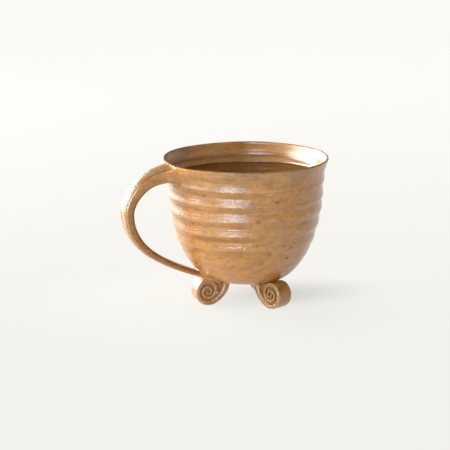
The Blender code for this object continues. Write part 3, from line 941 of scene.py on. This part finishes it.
def foot_section(width, thickness, quarter):
    """Points round the foot strap's section, its corners rounder where it leaves the bowl."""
    rounding = min(0.0009 + 0.0010 * float(1.0 - smooth(quarter, 0.0, 0.8)), 0.45 * thickness)
    count = 7
    turns = []
    for side, face, first in ((1, 1, 90), (1, -1, 0), (-1, -1, -90), (-1, 1, -180)):
        middle = np.array((side * (width / 2 - rounding), face * (thickness / 2 - rounding)))
        for turn in np.linspace(first, first - 90, count):
            turns.append(middle + towards(math.radians(turn), rounding))
    across = []
    for i in range(4):
        corner = turns[i * count:(i + 1) * count]
        following = turns[((i + 1) % 4) * count]
        inner = np.linspace(corner[-1], following, 8 if i in (1, 3) else 4)[1:-1]
        across.extend(corner)
        across.extend(inner)
    return np.array(across)


def foot_tones(stations):
    """Crevice, edge and pooled marks round a rolled strap, station by station: painted shade in the
    crevices and on the barrel, painted highlight along the edges.
    """
    found = []
    for _, _, width, thickness, quarter in stations:
        section = foot_section(width, thickness, quarter)
        inward = section[:, 1] / thickness
        off_side = (width / 2 - np.abs(section[:, 0])) / thickness
        wide = 1.0 + 0.5 * (1.0 - smooth(quarter, 0.0, 0.8))
        # Painted highlight: pale lines along the rounded edges, and over the strap's underside near the
        # root; partly broken glaze.
        edge = 2.8 * bell(off_side, 0.0, 0.32 * wide) * bell(np.abs(inward), 0.38, 0.15 * wide)
        edge = edge + 0.7 * smooth(-inward, 0.05, 0.40) * (1.0 - smooth(quarter, 0.2, 1.2))
        # Painted shade: the faces between the turns are darkened, and so is the middle of each end face.
        middle = 0.34 * bell(off_side, 0.0, 0.20) * bell(inward, 0.0, 0.22)
        inner_face = smooth(inward, 0.02, 0.42) * smooth(quarter, 0.1, 1.4)
        outer_face = smooth(-inward, 0.02, 0.42) * smooth(quarter, 3.4, 4.4)
        crevice = np.maximum(0.40 * np.clip(inner_face + outer_face, 0.0, 1.0), middle)
        # Painted shade: more amber on the barrel of the roll.
        barrel = smooth(-inward, 0.10, 0.45) * (1.0 - smooth(quarter, 3.4, 4.4))
        found.append((crevice, edge, 0.40 * barrel + 0.25 * (1.0 - barrel)))
    return np.array(found)


def roll_foot(bowl, foot, side, angle):
    """A rolled strap with the clay pressed between its turns."""
    scroll = Scroll(foot, bowl)
    stations = scroll.stations()
    rings = swept(stations, angle, foot_section)
    rings[:, :, 2] = np.maximum(rings[:, :, 2], 0.0)
    tones = foot_tones(stations)
    strap = (rings, tone_marks(*tones.swapaxes(0, 1)))
    # Painted shade: the clay between the turns is coloured dark.
    core = (roll_core(scroll, angle), tone_marks(0.40, 0.0, 1.0))
    return skin(f"rolled_foot_{side}", strap, core)


def roll_core(scroll, angle):
    """Clay pressed together between the turns, a little below the roll's end faces."""
    foot = scroll.foot
    quarters = np.linspace(0.0, 4.0, 65)
    toe = scroll.radius(0.0)
    outline = []
    for quarter in quarters:
        turn = math.pi / 2 * (quarter - 1)
        radius = scroll.radius(quarter)
        level = toe / max(-math.sin(turn), 0.5)
        outline.append(towards(turn, radius + (level - radius) * float(smooth(quarter, 3.45, 3.85))))
    outline = np.array(outline[:-1])
    depth = foot.width / 2 - foot.groove_depth
    sizes = ((0.35, -1.0), (0.75, -1.0), (1.0, -0.98), (1.0, 0.98), (0.75, 1.0), (0.35, 1.0))
    return np.array([
        in_upright_plane(scroll.eye + outline * size, share * depth, angle) for size, share in sizes])


# How far the clay of each foot was smeared over the underside: plain, extra, and the place of that
FOOT_SMEARS = {
    "left": (0.0026, 0.0022, (345.0, 34.0)),
    "right": (0.0022, 0.0085, (205.0, 34.0)),
    "back": (0.0026, 0.0, (0.0, 34.0)),
}


def lute_foot(bowl, foot, side, angle):
    """The clay worked round a foot's root, and the clay packed in behind its roll."""
    wall = Wall(bowl)
    stations = Scroll(foot, bowl).stations()
    ring = swept(stations[:1], angle, foot_section)[0]
    _, edge, pooled = foot_tones(stations[:1])[0]
    heading = np.array((0.0, 0.0, 1.0))
    hits = wall.on_underside(ring)
    away = (hits - hits.mean(axis=0)) * (1.0, 1.0, 0.0)
    outward = away / np.linalg.norm(away, axis=1)[:, None]
    plain, extra, place = FOOT_SMEARS[side]
    bearing = np.degrees(np.arctan2(outward[:, 1], outward[:, 0]))
    spreads = plain + extra * facing(bearing, place)
    rows = luted(ring, heading, hits, outward, spreads, wall.on_underside)
    fade = 1.0 - smooth(np.linspace(0.0, 1.0, len(rows))[:, None], 0.0, 0.8)
    marks = tone_marks(0.0, fade * edge, fade * pooled)
    packing = pressed_clay(wall, bowl, foot, angle)
    # Painted shade: the packed clay behind the roll is coloured dark.
    return skin(f"foot_luting_{side}", (rows, marks), (packing, tone_marks(0.35, 0.1, 1.0)))


def pressed_clay(wall, bowl, foot, angle):
    """Clay pushed into the corner between the roll, the root and the bowl, as rings side to side."""
    scroll = Scroll(foot, bowl)
    root = scroll.eye[0] - foot.setback
    roof = np.linspace(root, scroll.eye[0] - 0.0012, 9)
    roof = np.stack((roof, wall.underside_height(roof) + 0.0003), axis=1)
    on_roll = [scroll.place(quarter) for quarter in np.linspace(2.15, 3.45, 8)]
    hollow = bezier((
        on_roll[-1], on_roll[-1] + (-0.0008, 0.0016), (root + 0.0022, UNDERSIDE - 0.0060),
        (root + 0.0010, UNDERSIDE - 0.0085)), 9)
    outline = np.concatenate((roof, np.array(on_roll), hollow[1:]))
    middle = outline.mean(axis=0)
    half = foot.width / 2 - 0.0022
    rings = []
    for share in np.linspace(-1.0, 1.0, 15):
        size = (1.0 - abs(share) ** 5) ** 0.5 * 0.5 + 0.5
        rings.append(in_upright_plane(middle + (outline - middle) * size, share * half, angle))
    return np.array(rings)


class Bench:
    """Adds nodes to one shader tree and joins them up."""

    def __init__(self, tree):
        self.tree = tree
        tree.nodes.clear()

    def node(self, kind, inputs=None, **settings):
        made = self.tree.nodes.new("ShaderNode" + kind)
        for name, value in settings.items():
            setattr(made, name, value)
        for key, value in (inputs or {}).items():
            self.feed(made.inputs[key], value)
        return made

    def feed(self, socket, value):
        """Joins a socket to another one, or sets it to a value."""
        if isinstance(value, bpy.types.NodeSocket):
            self.tree.links.new(value, socket)
        else:
            socket.default_value = value

    def math(self, operation, *values):
        return self.node("Math", dict(enumerate(values)), operation=operation).outputs[0]

    def times(self, first, second):
        return self.math("MULTIPLY", first, second)

    def larger(self, first, second):
        return self.math("MAXIMUM", first, second)

    def part(self, vector, axis):
        return self.node("SeparateXYZ", {0: vector}).outputs[axis]

    def noise(self, vector, scale, detail=3.0, roughness=0.55):
        values = {"Vector": vector, "Scale": scale, "Detail": detail, "Roughness": roughness}
        return self.node("TexNoise", values).outputs["Fac"]

    def drawn_noise(self, vector, across, up, detail, roughness):
        """Noise that the wheel drew out: coarse round the cup and fine up it."""
        drawn = self.node("Mapping", {"Vector": vector, "Scale": (across, across, up)}).outputs[0]
        return self.noise(drawn, 1.0, detail, roughness)

    def share(self, value, low, high, least=0.0, most=1.0):
        """A soft step from least to most as a value goes from low to high."""
        values = {"Value": value, "From Min": low, "From Max": high, "To Min": least, "To Max": most}
        return self.node("MapRange", values, interpolation_type="SMOOTHSTEP").outputs[0]

    def mix(self, share, low, high, blend="MIX"):
        inputs = {0: share, 6: low, 7: high}
        return self.node("Mix", inputs, data_type="RGBA", blend_type=blend).outputs[2]

    def vector(self, operation, first, second):
        made = self.node("VectorMath", {0: first, 1: second}, operation=operation)
        return made.outputs["Value" if operation == "DOT_PRODUCT" else "Vector"]

    def attribute(self, name):
        return self.node("Attribute", attribute_name=name).outputs["Fac"]

    def bump(self, strength, distance, height, normal=None):
        values = {"Strength": strength, "Distance": distance, "Height": height}
        if normal is not None:
            values["Normal"] = normal
        return self.node("Bump", values).outputs[0]

    def glow(self, kind, colour, strength):
        """Light of one colour, from an Emission or a Background node."""
        return self.node(kind, {"Color": colour, "Strength": strength}).outputs[0]


def opaque(colour, level=1.0):
    return (*(channel * level for channel in colour), 1.0)


def new_material(name):
    """A material, a bench for its shader, and the places on the object that wears it."""
    material = bpy.data.materials.new(name)
    material.use_nodes = True
    bench = Bench(material.node_tree)
    return material, bench, bench.node("TexCoord").outputs["Object"]


# Radius at which the spots lie, and how far inside it they are gone and are still whole
SPOT_RADIUS = 0.045
SPOT_DEPTHS = (-0.025, -0.018)


def spots_mask(bench, place):
    """How strongly each place on the bowl is stained by an iron spot."""
    found = 0.0
    ragged = bench.share(bench.noise(place, 1400.0, 2.0), 0.25, 0.75, 0.72, 1.30)
    for angle, height, width, dark in IRON_SPOTS:
        turn = math.radians(angle)
        centre = tuple(float(value) for value in round_the_axis(angle, SPOT_RADIUS, height))
        offset = bench.vector("SUBTRACT", place, centre)
        across = bench.vector("DOT_PRODUCT", offset, (-math.sin(turn), math.cos(turn), 0.0))
        outward = bench.vector("DOT_PRODUCT", offset, (math.cos(turn), math.sin(turn), 0.0))
        wide = bench.math("POWER", across, 2.0)
        tall = bench.math("POWER", bench.times(bench.part(offset, 2), 1.25), 2.0)
        distance = bench.times(bench.math("SQRT", bench.math("ADD", wide, tall)), ragged)
        spot = bench.share(distance, width * 1.15, width * 0.20, 0.0, dark)
        here = bench.share(outward, *SPOT_DEPTHS)
        found = bench.larger(found, bench.times(spot, here))
    return found


def glaze_colour(bench, place, glaze, level, spotted):
    """Colour of the fired glaze, and how stained it is by iron."""
    streaks = bench.drawn_noise(place, 46.0, 170.0, 5.0, 0.66)
    wisps = bench.drawn_noise(place, 130.0, 560.0, 3.0, 0.6)
    patchy = bench.drawn_noise(place, 120.0, 260.0, 5.0, 0.70)
    clouds = bench.noise(place, 42.0, 3.0, 0.55)
    mottle = bench.noise(place, 260.0, 3.0, 0.6)
    high = bench.share(bench.part(place, 2), 0.035, 0.085)
    warmth = bench.math("SUBTRACT", clouds, bench.times(high, 0.14))
    haze = bench.math("ADD", bench.noise(place, 24.0, 4.0, 0.6), bench.times(high, 0.08))
    colour = opaque(glaze.ochre, level)

    def over(share, tone, depth=1.0):
        """The colour so far with one tone of the glaze laid over it."""
        return bench.mix(share, colour, opaque(tone, level * depth))

    colour = over(bench.share(streaks, 0.42, 0.62, 0.0, 0.9), glaze.tan)
    colour = over(bench.share(warmth, 0.36, 0.56, 0.0, 0.85), glaze.gold)
    colour = over(bench.share(haze, 0.55, 0.72, 0.0, 0.75), glaze.smoke)
    colour = bench.mix(1.0, colour, bench.share(wisps, 0.30, 0.68, 0.88, 1.07), "MULTIPLY")
    colour = bench.mix(1.0, colour, bench.share(mottle, 0.30, 0.70, 0.90, 1.08), "MULTIPLY")
    colour = over(bench.share(patchy, 0.47, 0.34, 0.0, 0.52), glaze.pooled, 1.3)

    def marked(mark, noise, low, high, least, most, limit):
        """How strongly a mark shows, uneven as the noise is."""
        uneven = bench.share(noise, low, high, least, most)
        return bench.math("MINIMUM", bench.times(bench.attribute(mark), uneven), limit)

    # Pale over crests and edges, partly broken glaze and partly painted highlight.
    colour = over(marked("crest", streaks, 0.35, 0.65, 0.15, 0.50, 0.8), glaze.broken)
    # Amber in the rings' valleys, and painted shade where it is laid on the feet, the handle's side and
    # inside.
    colour = over(marked("valley", wisps, 0.30, 0.70, 0.60, 0.30, 0.8), glaze.amber)
    # Darker along the rings' and the handle's groove lines; painted shade in the feet's crevices, along
    # the joints, on the handle's side and top, and at the left of the lip.
    colour = over(marked("groove_and_painted_shade", mottle, 0.30, 0.70, 0.95, 0.60, 0.92), glaze.pooled, 0.85)
    # Painted shade: the inside of the cup below the ledge is darkened towards the pooled colour.
    colour = over(bench.times(bench.attribute("painted_deep_shade"), 0.72), glaze.pooled, 1.15)

    cells = bench.node("TexVoronoi", {"Vector": place, "Scale": 240.0, "Randomness": 1.0}).outputs
    rare = bench.share(bench.part(cells["Color"], 0), 0.86, 0.96)
    stain = bench.times(bench.share(cells["Distance"], 0.26, 0.06, 0.0, 0.50), rare)
    if spotted:
        stain = bench.larger(stain, spots_mask(bench, place))
    return bench.mix(stain, colour, opaque(glaze.iron)), stain


def glaze_relief(bench, place, peel):
    """Bumps of the glaze: its swell over the rings, drag lines, soft lumps and orange peel."""
    calm = bench.share(bench.attribute("inner"), 0.0, 1.0, 1.0, 0.40)
    normal = bench.bump(1.0, 0.00032, bench.attribute("ring"))
    normal = bench.bump(calm, 0.00003, bench.drawn_noise(place, 20.0, 1100.0, 3.0, 0.6), normal)
    normal = bench.bump(calm, 0.00022, bench.noise(place, 520.0, 2.0, 0.5), normal)
    return bench.bump(calm, peel, bench.noise(place, 1100.0, 2.0, 0.5), normal)


def glaze_material(name, glaze, level=1.0, spotted=False):
    """The glaze on one kind of piece; a level below 1 makes a darker copy of it, as painted shade."""
    material, bench, place = new_material(name)
    colour, stain = glaze_colour(bench, place, glaze, level, spotted)
    crevice = bench.larger(bench.attribute("groove_and_painted_shade"), bench.attribute("painted_deep_shade"))
    patches = bench.noise(place, 120.0, 3.0, 0.6)
    roughness = bench.share(patches, 0.30, 0.70, glaze.roughness - 0.07, glaze.roughness + 0.08)
    roughness = bench.math("ADD", roughness, bench.times(stain, 0.15))
    roughness = bench.math("ADD", roughness, bench.times(crevice, 0.40))
    normal = glaze_relief(bench, place, glaze.peel)
    shader = bench.node("BsdfPrincipled", {
        "Base Color": colour, "Roughness": roughness, "Normal": normal, "IOR": 1.5,
        "Specular IOR Level": 0.05, "Coat Weight": bench.share(crevice, 0.15, 0.75, 1.0, 0.06),
        "Coat Roughness": glaze.coat_roughness, "Coat IOR": 1.65, "Coat Normal": normal})
    bench.node("OutputMaterial", {"Surface": shader.outputs[0]})
    return material


def finish_piece(piece, material, slot_name, *nodes):
    """Glazes a piece, sets it in the frame and lets it stand for its plain solids."""
    piece.data.materials.append(material)
    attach(piece, BODY)
    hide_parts(*nodes)


# The sweep's front is turned this far from -Y, in degrees. The shadow painted on it: its middle to the
# right of the turning axis's foot and in front of it, its slant, and how far it reaches each way.
SWEEP_TURN = 20.0
SHADE_MIDDLE = (0.0315, -0.022)
SHADE_SLANT = 0.20
SHADE_REACH_RIGHT = 0.078
SHADE_REACH_LEFT = 0.055
SHADE_REACH_ACROSS = 0.043
SHADE_LEVEL = 0.77
FLOOR_DROP = 0.00005


def painted_floor_shadow(bench, side, front):
    """A shadow painted on the floor under the cup and to its right, where its shade falls."""
    along_it = bench.math("SUBTRACT", side, SHADE_MIDDLE[0])
    across_it = bench.math("ADD", front, -SHADE_MIDDLE[1])
    across_it = bench.math("ADD", across_it, bench.times(along_it, SHADE_SLANT))
    to_right = bench.math("DIVIDE", along_it, SHADE_REACH_RIGHT)
    to_left = bench.math("DIVIDE", along_it, -SHADE_REACH_LEFT)
    across = bench.math("ABSOLUTE", bench.math("DIVIDE", across_it, SHADE_REACH_ACROSS))
    wide = bench.math("POWER", bench.larger(to_right, to_left), 2.0)
    reach = bench.math("SQRT", bench.math("ADD", wide, bench.math("POWER", across, 2.0)))
    return bench.share(reach, 0.05, 1.0, SHADE_LEVEL, 1.0)


def pale_floor(radius):
    """Soft white sweep, a little brighter towards the back, that keeps the cup's shadow and has a soft
    shadow painted under and beside it.
    """
    material, bench, place = new_material("pale_sweep")
    turn = math.radians(SWEEP_TURN)
    side = bench.vector("DOT_PRODUCT", place, (math.cos(turn), -math.sin(turn), 0.0))
    front = bench.vector("DOT_PRODUCT", place, (-math.sin(turn), -math.cos(turn), 0.0))
    distance = bench.node("VectorMath", {0: place}, operation="LENGTH").outputs["Value"]
    backwards = bench.share(front, 0.27, -0.90)
    tone = bench.mix(backwards, (0.888, 0.880, 0.838, 1.0), (0.975, 0.967, 0.932, 1.0))
    # Painted shadow: the tone is darkened under the cup and to its right.
    tone = bench.mix(1.0, tone, painted_floor_shadow(bench, side, front), "MULTIPLY")
    path = bench.node("LightPath").outputs
    seen = bench.larger(path["Is Camera Ray"], path["Is Glossy Ray"])
    seen = bench.larger(seen, path["Is Transmission Ray"])
    lit = bench.share(distance, 0.05, 0.14, 0.88, 0.98)
    dull = bench.mix(path["Is Diffuse Ray"], tone, (0.72, 0.70, 0.67, 1.0))
    matt = bench.node("BsdfDiffuse", {"Color": dull}).outputs[0]
    glow = bench.glow("Emission", tone, 1.0)
    blend = bench.node("MixShader", {0: bench.times(seen, lit), 1: matt, 2: glow})
    bench.node("OutputMaterial", {"Surface": blend.outputs[0]})
    turns = np.linspace(0.0, 2 * math.pi, 96, endpoint=False)
    points = [(math.cos(turn) * radius, math.sin(turn) * radius, -FLOOR_DROP) for turn in turns]
    mesh = bpy.data.meshes.new("studio_floor")
    mesh.from_pydata(points, [], [tuple(range(len(points)))])
    mesh.materials.append(material)
    placed("studio_floor", mesh)


def room_world(strength):
    """Even light from all round; what shines sees white walls under a dim ceiling."""
    world = bpy.data.worlds.new("studio_room")
    world.use_nodes = True
    bench = Bench(world.node_tree)
    path = bench.node("LightPath").outputs
    height = bench.part(bench.node("TexCoord").outputs["Generated"], 2)
    walls = bench.share(height, 0.45, 0.15, 0.07, 0.58)
    light = bench.glow("Background", (1.0, 0.98, 0.94, 1.0), strength)
    mirrored = bench.glow("Background", (1.0, 0.95, 0.87, 1.0), walls)
    shown = bench.glow("Background", (0.985, 0.978, 0.945, 1.0), 1.0)
    shine = bench.larger(path["Is Glossy Ray"], path["Is Transmission Ray"])
    blend = bench.node("MixShader", {0: shine, 1: light, 2: mirrored})
    seen = bench.node("MixShader", {0: path["Is Camera Ray"], 1: blend.outputs[0], 2: shown})
    bench.node("OutputWorld", {"Surface": seen.outputs[0]})
    bpy.context.scene.world = world


# Soft boxes: turn from the camera, elevation, distance, width, height, power in watts, and colour
SOFT_BOXES = {
    "left_window": (-104.0, 16.5, 0.85, 1.50, 0.52, 27.0, (1.0, 0.99, 0.97)),
    "back_left_window": (-138.0, 11.0, 0.85, 1.00, 0.40, 18.0, (1.0, 0.98, 0.95)),
    "low_left_strip": (-128.0, -1.7, 0.34, 0.46, 0.07, 0.42, (1.0, 0.98, 0.95)),
    "front_window": (-20.0, 10.0, 0.80, 0.72, 0.38, 8.9, (0.68, 0.92, 1.16)),
    "right_panel": (62.0, 30.0, 1.20, 1.20, 1.00, 0.5, (1.0, 0.97, 0.93)),
}


# How much of a soft box fades towards its sides, and towards its top and bottom
EDGE_FADES = (0.35, 0.30)


def fade_at_edges(lamp):
    """Lets a soft box fade towards its edges, as a cloth over a lamp does."""
    lamp.use_nodes = True
    bench = Bench(lamp.node_tree)
    place = bench.node("NewGeometry").outputs["Parametric"]
    strength = 1.0
    for axis, soft in enumerate(EDGE_FADES):
        from_middle = bench.math("ABSOLUTE", bench.math("SUBTRACT", bench.part(place, axis), 0.5))
        inset = bench.math("SUBTRACT", 0.5, from_middle)
        strength = bench.times(strength, bench.share(inset, 0.0, soft))
    bench.node("OutputLight", {"Surface": bench.glow("Emission", (1.0, 1.0, 1.0, 1.0), strength)})


def outward_from(turn, lift):
    """The direction at a turn round +Z and a lift above the horizon."""
    return Vector((math.cos(turn) * math.cos(lift), math.sin(turn) * math.cos(lift), math.sin(lift)))


LAMP_AIM = 0.05


def hang_soft_boxes(stage):
    """Area lamps round the cup, all turned to its middle."""
    centre = Vector((TURNING_X, 0.0, LAMP_AIM))
    camera_turn = stage.view_azimuth - math.pi / 2
    for name, (turn, elevation, distance, width, height, power, colour) in SOFT_BOXES.items():
        back = outward_from(camera_turn + math.radians(turn), math.radians(elevation))
        data = bpy.data.lights.new(name, "AREA")
        data.shape = "RECTANGLE"
        data.size = width
        data.size_y = height
        data.energy = power
        data.color = colour
        fade_at_edges(data)
        lamp = placed(name, data)
        lamp.location = centre + back * distance
        lamp.rotation_euler = back.to_track_quat("Z", "Y").to_euler()
        lamp.visible_camera = False


def place_camera(stage):
    """The camera, turned to a target beside the turning axis."""
    back = outward_from(stage.view_azimuth - math.pi / 2, stage.view_elevation)
    right = Vector((math.cos(stage.view_azimuth), math.sin(stage.view_azimuth), 0.0))
    up = back.cross(right)
    target = Vector((TURNING_X, 0.0, stage.target_height)) + right * stage.target_right
    data = bpy.data.cameras.new("portrait_camera")
    data.lens = stage.lens
    data.sensor_width = 36.0
    data.clip_start = 0.05
    data.clip_end = 50.0
    camera = placed("portrait_camera", data)
    camera.matrix_world = Matrix((right, up, back)).transposed().to_4x4()
    camera.location = target + back * stage.distance
    bpy.context.scene.camera = camera


class TRIPOD_CUP_OT_throw_bowl(Operator):
    """Throw the bowl with its rings and lip, and glaze it"""
    bl_idname = "tripod_cup.throw_bowl"
    bl_label = "Throw Bowl"

    def execute(self, context):
        scene = context.scene
        piece = throw_bowl(scene.cup_bowl)
        material = glaze_material("bowl_glaze_fired", scene.cup_glaze, 1.0, spotted=True)
        finish_piece(piece, material, "bowl_glaze", "cup_bowl")
        return {"FINISHED"}


class TRIPOD_CUP_OT_pull_handle(Operator):
    """Pull the strap handle, lute both of its ends to the wall, and glaze it"""
    bl_idname = "tripod_cup.pull_handle"
    bl_label = "Pull Handle"

    def execute(self, context):
        scene = context.scene
        strap = pull_handle(scene.cup_bowl, scene.cup_handle)
        root, landing = lute_handle(scene.cup_bowl, scene.cup_handle)
        # The strap's and the lutings' glazes are darker copies, as painted shade.
        strap_glaze = glaze_material("handle_glaze_fired", scene.cup_glaze, 0.82)
        luting_glaze = glaze_material("luting_glaze_fired", scene.cup_glaze, 0.97)
        finish_piece(strap, strap_glaze, "handle_glaze", "handle")
        finish_piece(root, luting_glaze, "wad_glaze", "handle_top_wad")
        finish_piece(landing, luting_glaze, "wad_glaze", "handle_landing_wad")
        return {"FINISHED"}


class TRIPOD_CUP_OT_roll_feet(Operator):
    """Roll the three scroll feet, lute them under the bowl, and glaze them"""
    bl_idname = "tripod_cup.roll_feet"
    bl_label = "Roll Feet"

    def execute(self, context):
        scene = context.scene
        # The feet's glazes are slightly darker copies, as painted shade.
        foot_glaze = glaze_material("foot_glaze_fired", scene.cup_glaze, 0.95)
        luting_glaze = glaze_material("foot_luting_glaze_fired", scene.cup_glaze, 0.95)
        for side, angle in FOOT_ANGLES.items():
            roll = roll_foot(scene.cup_bowl, scene.cup_feet, side, angle)
            luting = lute_foot(scene.cup_bowl, scene.cup_feet, side, angle)
            finish_piece(roll, foot_glaze, "foot_glaze", f"scroll_foot_{side}")
            finish_piece(luting, luting_glaze, "wad_glaze", f"foot_wad_{side}")
        return {"FINISHED"}


class TRIPOD_CUP_OT_set_stage(Operator):
    """Lay the pale floor, hang the soft boxes and place the camera"""
    bl_idname = "tripod_cup.set_stage"
    bl_label = "Set Stage"

    def execute(self, context):
        stage = context.scene.cup_stage
        pale_floor(stage.floor_radius)
        room_world(stage.room_light)
        hang_soft_boxes(stage)
        place_camera(stage)
        context.scene.view_settings.view_transform = "Standard"
        return {"FINISHED"}


class TRIPOD_CUP_PT_workshop(Panel):
    """Lists the steps of making the cup and the sizes behind them"""
    bl_idname = "TRIPOD_CUP_PT_workshop"
    bl_label = "Scroll-foot Cup"
    bl_space_type = "VIEW_3D"
    bl_region_type = "UI"
    bl_category = "Cup"

    def draw(self, context):
        layout = self.layout
        for operator in OPERATORS:
            layout.operator(operator.bl_idname)
        for name, group in SETTINGS.items():
            box = layout.box()
            box.label(text=name.replace("_", " ").capitalize())
            for prop in group.__annotations__:
                box.prop(getattr(context.scene, name), prop)


SETTINGS = {
    "cup_bowl": CupBowlSettings,
    "cup_handle": CupHandleSettings,
    "cup_feet": CupFootSettings,
    "cup_glaze": CupGlazeSettings,
    "cup_stage": CupStageSettings,
}
OPERATORS = (
    TRIPOD_CUP_OT_throw_bowl,
    TRIPOD_CUP_OT_pull_handle,
    TRIPOD_CUP_OT_roll_feet,
    TRIPOD_CUP_OT_set_stage,
)


def register():
    for group in (*SETTINGS.values(), *OPERATORS, TRIPOD_CUP_PT_workshop):
        bpy.utils.register_class(group)
    for name, group in SETTINGS.items():
        setattr(bpy.types.Scene, name, PointerProperty(type=group))


def unregister():
    for name in SETTINGS:
        delattr(bpy.types.Scene, name)
    for group in reversed((*SETTINGS.values(), *OPERATORS, TRIPOD_CUP_PT_workshop)):
        bpy.utils.unregister_class(group)


def main():
    register()
    bpy.ops.tripod_cup.throw_bowl()
    bpy.ops.tripod_cup.pull_handle()
    bpy.ops.tripod_cup.roll_feet()
    bpy.ops.tripod_cup.set_stage()


if __name__ == "__main__":
    main()
